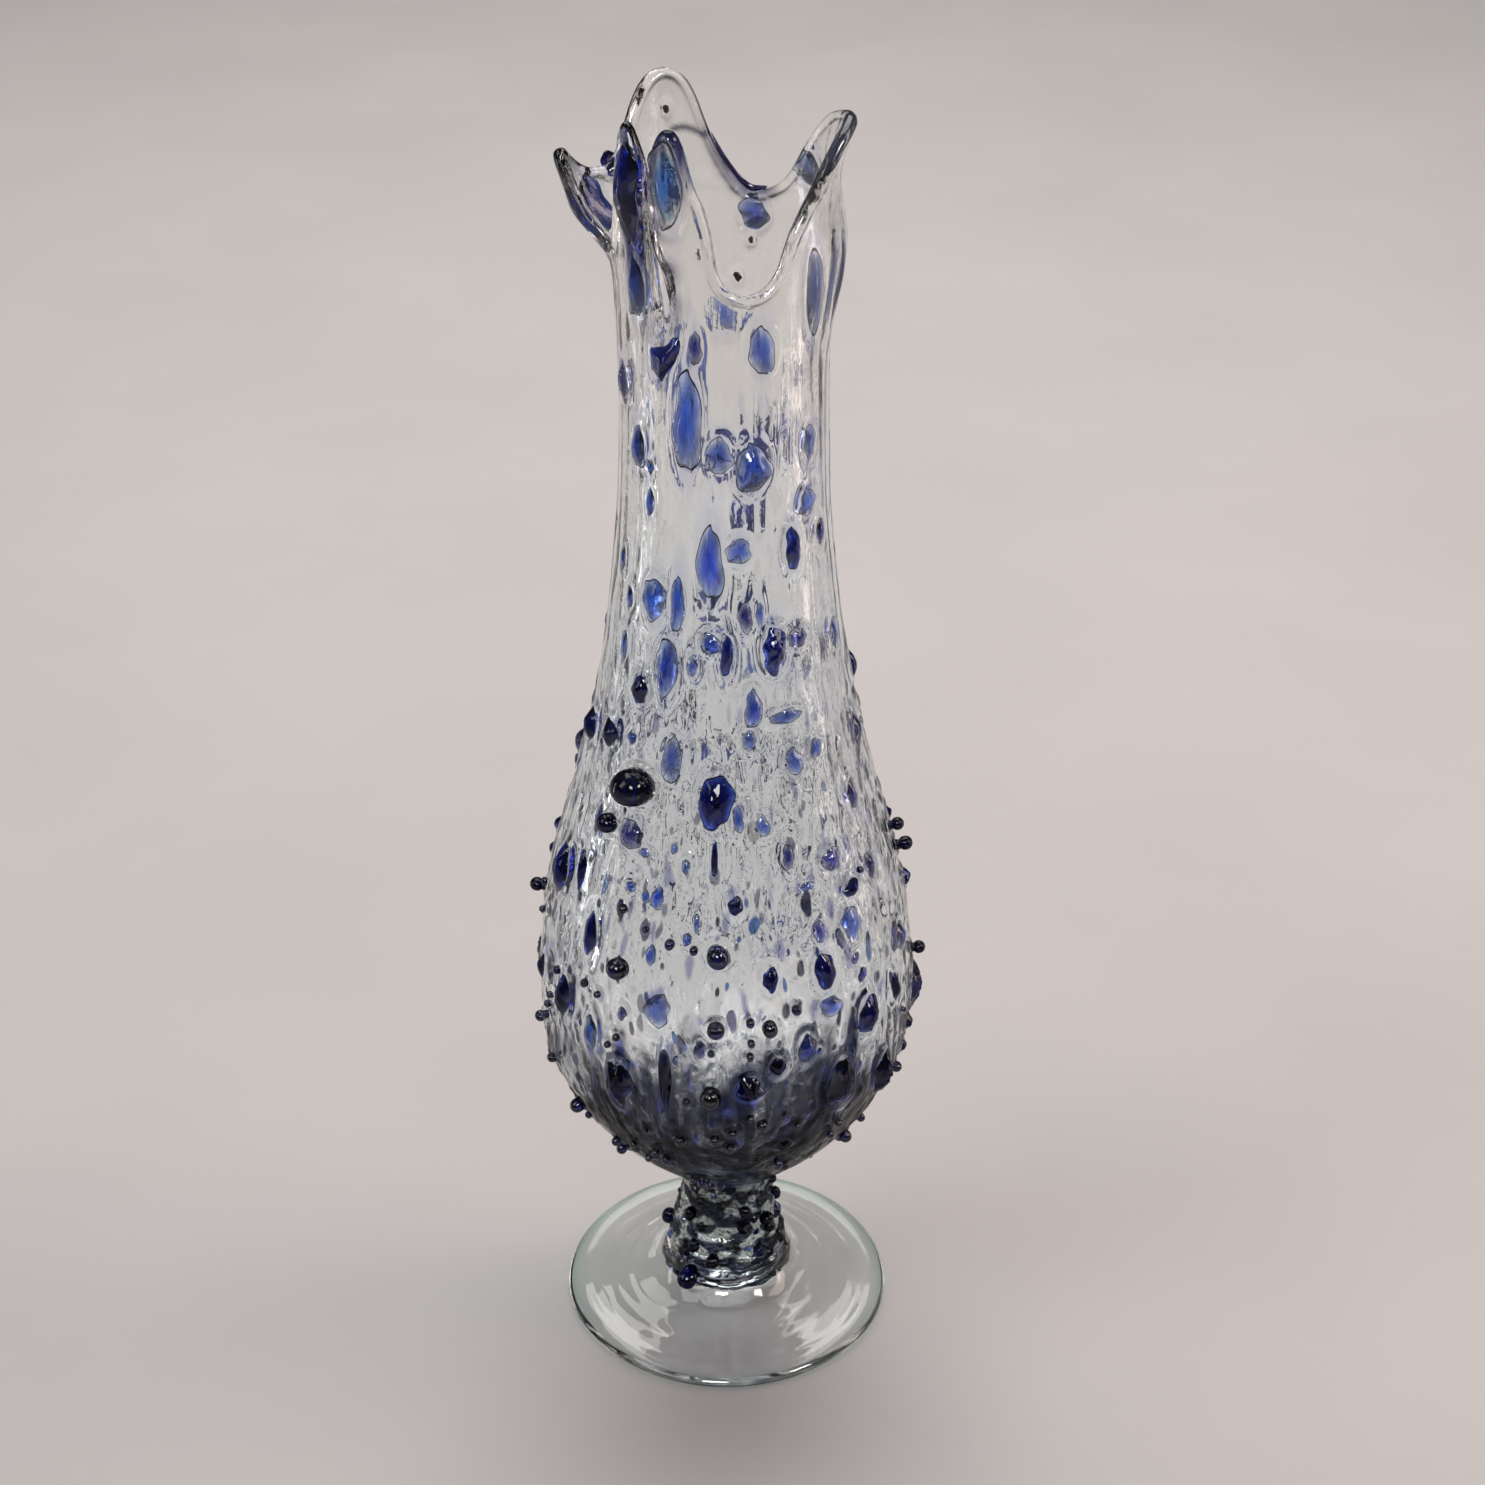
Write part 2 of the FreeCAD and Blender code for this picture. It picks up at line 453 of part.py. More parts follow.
BELLY = [(-22.9, 183.9, 4.0, 7.4, 'c'), (-27.4, 183.3, 2.6, 4.3, 'c'), (-35.1, 177.6, 2.7, 2.5, 'b'), (-47.0, 165.7, 4.6, 15.1, 'd'), (4.0, 183.7, 4.0, 6.1, 'd'), (-34.0, 159.4, 6.2, 5.9, 'b'), (-23.5, 166.5, 3.1, 7.0, 'c'), (-17.4, 170.8, 2.7, 3.1, 'b'), (-12.0, 172.7, 2.7, 4.3, 'c'), (-1.9, 168.8, 6.1, 6.6, 'B'), (-8.9, 177.8, 2.0, 6.1, 'p'), (14.1, 160.1, 4.8, 7.6, 'd'), (32.1, 158.5, 6.6, 12.3, 'd'), (31.8, 171.3, 4.6, 7.0, 'v'), (45.3, 169.0, 7.6, 11.1, 'p'), (46.6, 152.1, 4.0, 4.7, 'v'), (44.4, 158.4, 3.7, 3.3, 'v'), (71.2, 152.4, 8.0, 9.9, 'v'), (85.3, 124.9, 8.0, 15.0, 'k'), (62.8, 139.1, 4.6, 9.4, 'd'), (-74.9, 139.2, 4.7, 8.8, 'd'), (-57.5, 139.3, 6.9, 15.7, 'd'), (-43.6, 133.7, 5.2, 12.2, 'c'), (-32.1, 144.8, 3.3, 4.8, 'v'), (-2.5, 145.4, 4.7, 4.7, 'b'), (-7.2, 138.0, 3.6, 6.2, 'v'), (-20.5, 149.3, 7.4, 11.5, 'p'), (-17.7, 124.9, 3.7, 23.1, 's'), (-33.1, 119.6, 8.2, 16.7, 'k'), (-4.0, 121.7, 5.7, 6.4, 'b'), (7.4, 124.3, 8.3, 8.2, 'k'), (15.7, 131.2, 4.9, 6.5, 'd'), (24.9, 135.6, 5.7, 9.1, 'c'), (28.8, 133.2, 3.0, 4.3, 'c'), (37.0, 117.9, 9.6, 18.5, 'k'), (48.0, 137.9, 8.0, 12.8, 'd'), (75.5, 117.3, 5.1, 5.4, 'd'), (72.8, 109.9, 4.0, 3.9, 'd'), (69.9, 103.9, 3.4, 3.2, 'b'), (56.5, 110.7, 8.6, 16.0, 'k'), (17.8, 111.9, 3.7, 4.7, 'v'), (11.2, 109.9, 3.0, 3.6, 'b'), (-14.2, 101.8, 2.8, 3.4, 'b'), (-3.1, 103.6, 2.7, 3.2, 'b'), (1.6, 99.2, 2.4, 2.9, 'b'), (19.5, 97.9, 6.3, 4.5, 'd'), (23.5, 83.1, 2.6, 3.1, 'b'), (-62.2, 92.8, 4.4, 4.3, 'b'), (7.6, 147.4, 2.4, 2.7, 'b'), (7.8, 140.4, 2.1, 2.4, 'b'), (7.4, 136.0, 2.1, 2.4, 'b'), (13.3, 145.0, 4.2, 4.7, 'b'), (21.8, 149.3, 2.8, 3.0, 'b'), (33.6, 146.7, 7.6, 6.9, 'p'), (-3.9, 137.2, 2.0, 2.1, 'b'), (-79.5, 116.8, 3.7, 3.1, 'b'), (-66.2, 110.4, 3.3, 2.8, 'b'), (-65.6, 134.3, 2.4, 2.0, 'b'), (-41.4, 147.7, 2.0, 2.0, 'b'), (54.6, 82.6, 3.8, 3.8, 'b'), (-49.0, 78.9, 3.2, 3.4, 'b')]
NUBS = [(-93.5, 156.0, 3.9, 3.9, 'N'), (87.5, 181.5, 3.6, 3.6, 'N'), (93.5, 171.0, 4.0, 4.0, 'N'), (89.0, 136.0, 3.6, 3.6, 'N'),
        (172.0, 142.0, 3.7, 3.7, 'N'), (-146.0, 168.0, 3.4, 3.4, 'N'), (128.0, 120.0, 3.6, 3.6, 'N')]

rng = random.Random(4217)
# The far side carries the same mix, placed by a fixed random sequence.
for zone, table_, count in (((248, 336), NECK, 22), ((192, 246), SHOULDER, 22), ((100, 188), BELLY, 44)):
    src = list(table_)
    for _ in range(count):
        base = src[rng.randrange(len(src))]
        table_.append((rng.uniform(100.0, 258.0), rng.uniform(*zone), base[2] * rng.uniform(0.85, 1.15), base[3] * rng.uniform(0.85, 1.15), base[4]))
SEEDS = []
for _ in range(90):
    z = 66.0 + 120.0 * rng.random() ** 1.5
    d = rng.uniform(1.5, 2.7)
    SEEDS.append((rng.uniform(-180.0, 180.0), z, d, d * rng.uniform(0.95, 1.25), "b"))
FRIT = []
for _ in range(120):
    z = rng.uniform(sh_ + 1.6, ch - 3.2)
    d = rng.uniform(1.8, 4.4)
    h = d * rng.uniform(0.9, 1.5)
    z = min(max(z, sh_ + 0.5 + 0.6 * h), ch - 0.5 - 0.6 * h)
    FRIT.append((rng.uniform(-180.0, 180.0), z, d, h, rng.choice("ddkcb")))

taken = []


def fits(place, az, z, w, h):
    """Largest factor, up to 1, at which the piece clears every piece already placed."""
    p, n = place(az, z)
    a, b = w / 2 * 1.12 + 0.15, h / 2 * 1.12 + 0.15
    up = V(0, 0, 1) - n * n.z
    up.normalize()
    side = up.cross(n)
    best = 1.0
    for q, a2, b2 in taken:
        dd = q - p
        dist = dd.Length
        if dist > 30:
            continue
        x, y = dd.dot(side), dd.dot(up)
        m = math.hypot(x, y)
        if m < 1e-6:
            return 0.0
        c, s = x / m, y / m
        r1 = 1.0 / math.hypot(c / a, s / b)
        r2 = 1.0 / math.hypot(c / a2, s / b2)
        best = min(best, (m - r2) / r1)
    return best


def lay(name, place, items, floor=0.5):
    solids = []
    for it in items:
        az, z, w, h, kind = it[:5]
        lean = it[5] if len(it) > 5 else 0.0
        f = fits(place, az, z, w, h)
        if f < floor:
            continue
        w, h = w * f, h * f
        if min(w, h) < 1.3:
            continue
        p, _ = place(az, z)
        solid = chip(place, az, z, w, h, kind, rng, lean)
        if solid.isNull() or not solid.isValid() or solid.Volume < 0.2:
            continue
        taken.append((p, w / 2 * 1.12, h / 2 * 1.12))
        solids.append(solid)
    obj = doc.addObject("Part::Feature", name)
    obj.Label = name
    obj.Shape = Part.makeCompound(solids)
    obj.Placement = FreeCAD.Placement()
    print(name, len(solids))
    return obj


kinds = lambda items, ks: [i for i in items if i[4] in ks]
pieces = [body_bubble, stem_knop, foot_disc, stem_drop]
drop_at = blob.Placement.Base
taken.append((drop_at, 3.6, 4.6))
pieces.append(lay("proud_nubs", on_wall, NUBS))
pieces.append(lay("rim_chips", on_wall, RIM_CHIPS))
pieces.append(lay("rim_wash", on_wall, RIM_WASH))
pieces.append(lay("rim_specks", on_wall, RIM_SPECKS))
pieces.append(lay("neck_chips_blue", on_wall, kinds(NECK, "cdk")))
pieces.append(lay("neck_chips_pale", on_wall, kinds(NECK, "pv")))
pieces.append(lay("shoulder_drops", on_wall, kinds(SHOULDER, "dckBb")))
pieces.append(lay("shoulder_flecks", on_wall, kinds(SHOULDER, "pv")))
pieces.append(lay("belly_chunks", on_wall, kinds(BELLY, "dcks")))
pieces.append(lay("belly_beads", on_wall, kinds(BELLY, "bB")))
pieces.append(lay("belly_flecks", on_wall, kinds(BELLY, "pv")))
pieces.append(lay("bowl_beads", on_wall, SEEDS, 0.85))
pieces.append(lay("stem_frit", on_stem, FRIT, 0.6))

# ---------------------------------------------------------------- checks and files
doc.recompute()
for obj in doc.Objects:
    for flag in ("Invalid", "Error"):
        if flag in obj.State:
            raise RuntimeError("%s: %s" % (obj.Label, obj.State))
for obj in pieces:
    if obj.Shape.isNull() or not obj.Shape.isValid():
        raise RuntimeError("bad shape: " + obj.Label)
bb = body_bubble.Shape.BoundBox
print("bubble", [round(v, 2) for v in (bb.XMin, bb.XMax, bb.YMin, bb.YMax, bb.ZMin, bb.ZMax)], "cm3", round(body_bubble.Shape.Volume / 1000, 1))
os.makedirs("parts", exist_ok=True)
for obj in pieces:
    obj.Shape.exportStep("parts/%s.step" % obj.Label)
    b = obj.Shape.BoundBox
    print(obj.Label, len(obj.Shape.Solids), round(obj.Shape.Volume, 1), [round(v, 1) for v in (b.XMin, b.XMax, b.YMin, b.YMax, b.ZMin, b.ZMax)])
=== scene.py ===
import json
import math
import random

import bpy
import numpy as np
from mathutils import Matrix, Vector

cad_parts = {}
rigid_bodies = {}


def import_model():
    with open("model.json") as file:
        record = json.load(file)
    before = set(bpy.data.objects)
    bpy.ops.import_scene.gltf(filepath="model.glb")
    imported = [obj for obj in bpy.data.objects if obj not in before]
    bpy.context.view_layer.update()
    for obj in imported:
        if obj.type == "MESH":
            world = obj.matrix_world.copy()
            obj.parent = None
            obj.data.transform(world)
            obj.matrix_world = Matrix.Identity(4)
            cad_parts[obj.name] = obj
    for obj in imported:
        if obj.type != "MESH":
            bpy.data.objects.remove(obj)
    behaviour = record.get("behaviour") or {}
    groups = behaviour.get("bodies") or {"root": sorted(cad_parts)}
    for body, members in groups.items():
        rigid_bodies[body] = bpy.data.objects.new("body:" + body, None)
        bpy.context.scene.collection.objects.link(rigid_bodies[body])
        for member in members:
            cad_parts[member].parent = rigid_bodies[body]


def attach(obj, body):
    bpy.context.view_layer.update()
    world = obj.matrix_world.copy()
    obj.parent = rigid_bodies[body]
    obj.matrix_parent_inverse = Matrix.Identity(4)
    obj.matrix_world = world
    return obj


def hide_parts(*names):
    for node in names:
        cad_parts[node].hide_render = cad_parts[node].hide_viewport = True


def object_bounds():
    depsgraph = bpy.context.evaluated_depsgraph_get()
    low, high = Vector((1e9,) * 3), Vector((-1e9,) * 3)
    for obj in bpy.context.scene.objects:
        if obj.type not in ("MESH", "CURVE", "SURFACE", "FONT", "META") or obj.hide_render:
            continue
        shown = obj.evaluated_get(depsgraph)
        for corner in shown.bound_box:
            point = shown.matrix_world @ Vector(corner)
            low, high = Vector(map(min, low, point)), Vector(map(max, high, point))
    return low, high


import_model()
cad_lo, cad_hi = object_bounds()

# ================================================================ shape of the vase
# Same stations as the CAD source: units for a vase 398.4 tall, times K gives millimetres.
K = 406.4 / 398.4
SEAT_R, SEAT_Z, WAIST_R, WAIST_Z, COLLAR_R, COLLAR_Z = 19.3, 20.4, 13.9, 47.0, 14.3, 51.0
FOOT_R, FOOT_EDGE, REST_IN, RECESS = 53.4, 4.2, 46.9, 9.4


def table(xs, ys):
    xs, ys = np.array(xs, float), np.array(ys, float)
    dx = np.diff(xs)
    sl = np.diff(ys) / dx
    m = np.zeros(len(xs))
    m[0], m[-1] = sl[0], sl[-1]
    for i in range(1, len(xs) - 1):
        if sl[i - 1] * sl[i] > 0:
            w1, w2 = 2 * dx[i] + dx[i - 1], dx[i] + 2 * dx[i - 1]
            m[i] = (w1 + w2) / (w1 / sl[i - 1] + w2 / sl[i])

    def f(x):
        x = np.clip(np.asarray(x, float), xs[0], xs[-1])
        i = np.clip(np.searchsorted(xs, x, side="right") - 1, 0, len(dx) - 1)
        t = (x - xs[i]) / dx[i]
        return (
            (2 * t**3 - 3 * t**2 + 1) * ys[i]
            + (t**3 - 2 * t**2 + t) * dx[i] * m[i]
            + (-2 * t**3 + 3 * t**2) * ys[i + 1]
            + (t**3 - t**2) * dx[i] * m[i + 1]
        )

    return f


def smooth(t):
    t = np.clip(t, 0.0, 1.0)
    return t * t * (3 - 2 * t)


PZ = [50, 54, 60, 66, 74, 84, 96, 110, 126, 144, 164, 186, 210, 236, 264, 292, 322, 345, 360, 375, 398]
PR = [14.0, 19.2, 25.2, 31.2, 38.8, 46.1, 52.4, 56.6, 57.05, 55.7, 52.2, 46.6, 40.4, 35.1, 31.4, 29.1, 28.6, 29.0, 29.9, 30.8, 31.6]
_kb, _kn = 58.2 / (57.05 * K), 29.2 / (28.6 * K)
PR = [r * (_kb + (_kn - _kb) * float(smooth((z - 150.0) / 120.0))) for z, r in zip(PZ, PR)]
PR[0] = COLLAR_R / K
profile = table(PZ, PR)
lip_left = table([350, 354, 357, 360, 363, 366.5, 371, 376, 381.5, 386], [0, 0.3, 1.4, 3.6, 5.9, 8.2, 10.1, 11.4, 12.6, 12.9])
lip_right = table([330, 338, 345.5, 353, 359.6, 365, 370.6, 376, 381, 386, 392, 397], [0, 0.8, 1.9, 2.8, 3.2, 2.4, 1.2, 0.4, 0.5, 1.5, 3.2, 3.8])
RIM = [
    (-180, 371.9), (-175, 377), (-170, 383.5), (-165, 390.5), (-160, 395), (-154, 397.6), (-147, 398.6), (-140, 397.8),
    (-134, 395.8), (-128, 392.2), (-123, 387.8), (-118, 382.5), (-113, 378.2), (-108, 376.6), (-104, 376.8), (-100, 378.6),
    (-96.5, 381.8), (-93, 384.2), (-90, 384.6), (-87.5, 383), (-85, 377.5), (-82.5, 368.5), (-80, 362), (-77, 359.8),
    (-74, 361.5), (-71, 366.5), (-68, 373.5), (-65, 381), (-61, 389.5), (-57.5, 395.6), (-54.5, 397.4), (-51, 396.6),
    (-47.5, 394.2), (-44.5, 391.4), (-42.4, 389), (-41, 386), (-40.2, 378), (-39.8, 365), (-39.5, 352), (-39.1, 347.5),
    (-38.6, 346.2), (-38.1, 347.5), (-37.7, 352), (-37.4, 365), (-37.1, 378), (-36.4, 387), (-35.2, 392.3), (-33.5, 395),
    (-31, 397.2), (-28, 398.2), (-25, 398.1), (-22, 396.8), (-19.5, 394), (-17.5, 390.5), (-15.5, 386.5), (-12.5, 382),
    (-9.5, 378.8), (-7, 374), (-5, 369.5), (-3, 362.5), (0, 358.2), (4, 356), (8, 354.8), (12.5, 354.3), (17, 354.6),
    (21.5, 355.6), (26, 357.7), (30, 361), (33, 365.5), (36.5, 369.8), (41, 373.4), (47, 377.2), (53, 380.6), (60, 384.6),
    (67, 388.3), (74, 391.4), (81, 393.2), (88, 394), (95, 393.6), (102, 392.6), (108, 391.4), (114, 389.8), (120, 386.8),
    (126, 382.8), (132, 378.6), (138, 373.4), (144, 369), (150, 366.2), (157, 364.4), (164.5, 363.5), (170, 365), (175, 368),
    (180, 371.9),
]
rim_height = table([a for a, _ in RIM], [b for _, b in RIM])


def wrap(a):
    return (np.asarray(a, float) + 180.0) % 360.0 - 180.0


def swing(s, z):
    g = np.where(s < -37.4, (s + 40.0) / 2.6, 1.0 - smooth((s + 37.4) / 25.4))
    w = smooth((z - 328.0) / 18.0) * (1.0 - smooth((z - 355.0) / 15.0))
    return np.where((s <= -40.0) | (s >= -12.0), 0.0, 11.0 * g * w)


def outside(s, z):
    s, z = np.broadcast_arrays(np.asarray(s, float), np.asarray(z, float))
    az = s + swing(s, z)
    a, b = wrap(az + 90.0), wrap(az - 90.0)
    flare = lip_left(z) * np.exp(-0.5 * (a / np.where(a > 0, 9.0, 12.0)) ** 2) + lip_right(z) * np.exp(-0.5 * (b / 30.0) ** 2)
    r = profile(z) + np.where(z > 330, flare, 0.0)
    t = np.radians(az)
    return np.stack([r * np.sin(t) * K, -r * np.cos(t) * K, z * K], -1)


def unit(v):
    return v / np.maximum(np.linalg.norm(v, axis=-1, keepdims=True), 1e-12)


def outward(s, z):
    return unit(np.cross(outside(s + 0.6, z) - outside(s - 0.6, z), outside(s, z + 0.5) - outside(s, z - 0.5)))


wall_table = table([50, 62, 74, 96, 126, 210, 300, 360, 400], [6.2, 6.2, 6.2 * 0.72, 2.8 * 1.2, 2.8, 2.8, 2.9, 3.3, 3.3])
stem_radius = table(
    [SEAT_Z, SEAT_Z + 5.5, WAIST_Z - 15.5, WAIST_Z - 10.0, WAIST_Z - 4.0, WAIST_Z, COLLAR_Z],
    [SEAT_R, SEAT_R - 1.4, WAIST_R + 2.6, WAIST_R + 1.3, WAIST_R + 0.3, WAIST_R, COLLAR_R],
)

# ================================================================ coloured glass: the CAD's lists and its random sequence
RIM_CHIPS = [
    (-52.0, 386.5, 10.0, 26.0, "d", 3), (-49.5, 361.5, 7.8, 21.5, "c", -4), (-27.0, 391.5, 9.4, 22.5, "c", 0),
    (-101.0, 374.5, 9.2, 17.0, "c", 6), (-113.0, 384.0, 5.0, 6.0, "d", 0),
]
RIM_WASH = [
    (128.0, 380.5, 12.0, 9.5, "r", 8), (163.0, 364.6, 8.5, 9.5, "v", 0), (172.0, 373.6, 15.0, 2.6, "e", 0),
    (52.0, 359.0, 6.5, 26.0, "r", 6), (76.0, 359.0, 5.0, 30.0, "r", 0), (20.9, 346.2, 7.1, 14.4, "p", 0),
]
RIM_SPECKS = [(-168.1, 352.9, 3.9, 2.2, "k", 15), (172.1, 345.6, 2.2, 2.8, "k", 0), (164.6, 356.6, 1.5, 1.9, "k", 0), (-149.4, 394.6, 1.5, 2.2, "b", 0)]
NECK = [(-34.6, 342.9, 6.7, 12.1, 'd'), (-68.1, 330.6, 6.6, 11.8, 'v'), (-14.8, 347.2, 5.5, 12.9, 'v'), (-19.3, 326.3, 8.0, 30.6, 'c'), (-2.1, 316.5, 7.6, 10.6, 'p'), (16.1, 312.5, 9.5, 14.7, 'c'), (-51.8, 314.5, 5.7, 13.4, 'c'), (-42.2, 309.5, 2.5, 4.5, 'c'), (-42.1, 299.4, 3.2, 8.4, 'c'), (-6.9, 284.8, 7.2, 22.2, 'c'), (8.2, 287.9, 6.7, 7.7, 'p'), (38.8, 286.1, 5.4, 12.0, 'd'), (53.5, 315.3, 4.9, 10.4, 'p'), (51.3, 297.7, 6.4, 8.5, 'p'), (61.8, 286.7, 4.7, 7.6, 'v'), (-37.5, 270.3, 7.5, 13.7, 'c'), (-23.4, 271.4, 4.2, 16.5, 'c'), (-9.8, 273.4, 3.9, 5.4, 'd'), (10.8, 268.2, 4.2, 9.0, 'v'), (18.4, 268.3, 2.3, 7.5, 'p'), (-6.1, 260.7, 5.1, 6.6, 'c'), (1.6, 257.2, 5.6, 18.0, 'd'), (25.0, 257.4, 7.3, 12.7, 'k'), (-27.7, 250.8, 6.9, 18.2, 'c'), (38.6, 258.9, 8.2, 7.6, 'v'), (-56.0, 252.9, 3.5, 8.7, 'p'), (-54.6, 268.1, 3.4, 6.2, 'p'), (67.5, 253.6, 5.1, 9.5, 'p'), (-64.5, 277.8, 3.0, 7.4, 'p'), (-14.7, 253.1, 2.9, 5.4, 'p')]
SHOULDER = [(-41.6, 242.8, 5.7, 8.6, 'd'), (13.4, 240.9, 5.2, 10.9, 'c'), (-56.8, 224.9, 6.1, 8.8, 'd'), (-75.5, 221.3, 6.7, 10.5, 'd'), (-42.8, 227.2, 3.6, 3.7, 'c'), (-22.3, 224.6, 6.1, 13.6, 'p'), (28.5, 236.7, 10.1, 4.3, 'p'), (11.0, 231.6, 4.0, 6.0, 'p'), (30.7, 222.9, 5.5, 8.5, 'p'), (42.2, 224.6, 4.3, 6.2, 'p'), (-37.0, 214.3, 11.6, 10.2, 'B'), (-3.5, 213.5, 9.1, 17.4, 'd'), (-47.8, 200.0, 6.0, 5.3, 'b'), (-36.8, 199.6, 8.4, 9.0, 'v'), (-54.5, 199.4, 4.2, 15.0, 'v'), (-70.1, 176.2, 8.2, 15.2, 'd'), (-56.5, 181.7, 3.9, 12.3, 'd'), (93.4, 159.9, 5.0, 5.9, 'd'), (93.0, 235.2, 4.8, 8.8, 'd'), (76.0, 220.1, 7.0, 11.5, 'v'), (58.7, 205.3, 4.9, 9.6, 'v'), (15.0, 206.0, 4.1, 6.0, 'p'), (41.0, 190.9, 7.1, 6.9, 'v'), (59.5, 182.3, 5.3, 8.5, 'v'), (47.3, 180.0, 5.6, 5.7, 'd'), (29.5, 185.5, 5.1, 3.1, 'p'), (23.6, 195.7, 3.7, 7.9, 'v'), (-13.6, 194.2, 2.4, 4.8, 'p'), (5.4, 208.7, 3.4, 9.6, 'p'), (-3.3, 197.2, 2.0, 10.2, 'd'), (-18.5, 198.9, 2.0, 3.6, 'p'), (-33.6, 184.7, 3.3, 3.7, 'c'), (-29.7, 195.7, 3.0, 3.1, 'p')]
BELLY = [(-22.9, 183.9, 4.0, 7.4, 'c'), (-27.4, 183.3, 2.6, 4.3, 'c'), (-35.1, 177.6, 2.7, 2.5, 'b'), (-47.0, 165.7, 4.6, 15.1, 'd'), (4.0, 183.7, 4.0, 6.1, 'd'), (-34.0, 159.4, 6.2, 5.9, 'b'), (-23.5, 166.5, 3.1, 7.0, 'c'), (-17.4, 170.8, 2.7, 3.1, 'b'), (-12.0, 172.7, 2.7, 4.3, 'c'), (-1.9, 168.8, 6.1, 6.6, 'B'), (-8.9, 177.8, 2.0, 6.1, 'p'), (14.1, 160.1, 4.8, 7.6, 'd'), (32.1, 158.5, 6.6, 12.3, 'd'), (31.8, 171.3, 4.6, 7.0, 'v'), (45.3, 169.0, 7.6, 11.1, 'p'), (46.6, 152.1, 4.0, 4.7, 'v'), (44.4, 158.4, 3.7, 3.3, 'v'), (71.2, 152.4, 8.0, 9.9, 'v'), (85.3, 124.9, 8.0, 15.0, 'k'), (62.8, 139.1, 4.6, 9.4, 'd'), (-74.9, 139.2, 4.7, 8.8, 'd'), (-57.5, 139.3, 6.9, 15.7, 'd'), (-43.6, 133.7, 5.2, 12.2, 'c'), (-32.1, 144.8, 3.3, 4.8, 'v'), (-2.5, 145.4, 4.7, 4.7, 'b'), (-7.2, 138.0, 3.6, 6.2, 'v'), (-20.5, 149.3, 7.4, 11.5, 'p'), (-17.7, 124.9, 3.7, 23.1, 's'), (-33.1, 119.6, 8.2, 16.7, 'k'), (-4.0, 121.7, 5.7, 6.4, 'b'), (7.4, 124.3, 8.3, 8.2, 'k'), (15.7, 131.2, 4.9, 6.5, 'd'), (24.9, 135.6, 5.7, 9.1, 'c'), (28.8, 133.2, 3.0, 4.3, 'c'), (37.0, 117.9, 9.6, 18.5, 'k'), (48.0, 137.9, 8.0, 12.8, 'd'), (75.5, 117.3, 5.1, 5.4, 'd'), (72.8, 109.9, 4.0, 3.9, 'd'), (69.9, 103.9, 3.4, 3.2, 'b'), (56.5, 110.7, 8.6, 16.0, 'k'), (17.8, 111.9, 3.7, 4.7, 'v'), (11.2, 109.9, 3.0, 3.6, 'b'), (-14.2, 101.8, 2.8, 3.4, 'b'), (-3.1, 103.6, 2.7, 3.2, 'b'), (1.6, 99.2, 2.4, 2.9, 'b'), (19.5, 97.9, 6.3, 4.5, 'd'), (23.5, 83.1, 2.6, 3.1, 'b'), (-62.2, 92.8, 4.4, 4.3, 'b'), (7.6, 147.4, 2.4, 2.7, 'b'), (7.8, 140.4, 2.1, 2.4, 'b'), (7.4, 136.0, 2.1, 2.4, 'b'), (13.3, 145.0, 4.2, 4.7, 'b'), (21.8, 149.3, 2.8, 3.0, 'b'), (33.6, 146.7, 7.6, 6.9, 'p'), (-3.9, 137.2, 2.0, 2.1, 'b'), (-79.5, 116.8, 3.7, 3.1, 'b'), (-66.2, 110.4, 3.3, 2.8, 'b'), (-65.6, 134.3, 2.4, 2.0, 'b'), (-41.4, 147.7, 2.0, 2.0, 'b'), (54.6, 82.6, 3.8, 3.8, 'b'), (-49.0, 78.9, 3.2, 3.4, 'b')]
NUBS = [(-93.5, 156.0, 3.9, 3.9, 'N'), (87.5, 181.5, 3.6, 3.6, 'N'), (93.5, 171.0, 4.0, 4.0, 'N'), (89.0, 136.0, 3.6, 3.6, 'N'),
        (172.0, 142.0, 3.7, 3.7, 'N'), (-146.0, 168.0, 3.4, 3.4, 'N'), (128.0, 120.0, 3.6, 3.6, 'N')]
rng = random.Random(4217)
for zone, table_, count in (((248, 336), NECK, 22), ((192, 246), SHOULDER, 22), ((100, 188), BELLY, 44)):
    src = list(table_)
    for _ in range(count):
        base = src[rng.randrange(len(src))]
        table_.append((rng.uniform(100.0, 258.0), rng.uniform(*zone), base[2] * rng.uniform(0.85, 1.15), base[3] * rng.uniform(0.85, 1.15), base[4]))
SEEDS = []
for _ in range(90):
    z = 66.0 + 120.0 * rng.random() ** 1.5
    d = rng.uniform(1.5, 2.7)
    SEEDS.append((rng.uniform(-180.0, 180.0), z, d, d * rng.uniform(0.95, 1.25), "b"))
FRIT = []
for _ in range(120):
    z = rng.uniform(SEAT_Z + 1.6, COLLAR_Z - 3.2)
    d = rng.uniform(1.8, 4.4)
    h = d * rng.uniform(0.9, 1.5)
    z = min(max(z, SEAT_Z + 0.5 + 0.6 * h), COLLAR_Z - 0.5 - 0.6 * h)
    FRIT.append((rng.uniform(-180.0, 180.0), z, d, h, rng.choice("ddkcb")))


def on_wall0(az, z):
    u = np.asarray(z, float) / K
    return outside(az, u), outward(az, u)


def on_stem0(az, z):
    az, z = np.broadcast_arrays(np.asarray(az, float), np.asarray(z, float))
    t = np.radians(az)
    r = stem_radius(z)
    dr = (stem_radius(z + 0.4) - stem_radius(z - 0.4)) / 0.8
    n = unit(np.stack([np.sin(t), -np.cos(t), -dr], -1))
    return np.stack([r * np.sin(t), -r * np.cos(t), z], -1), n


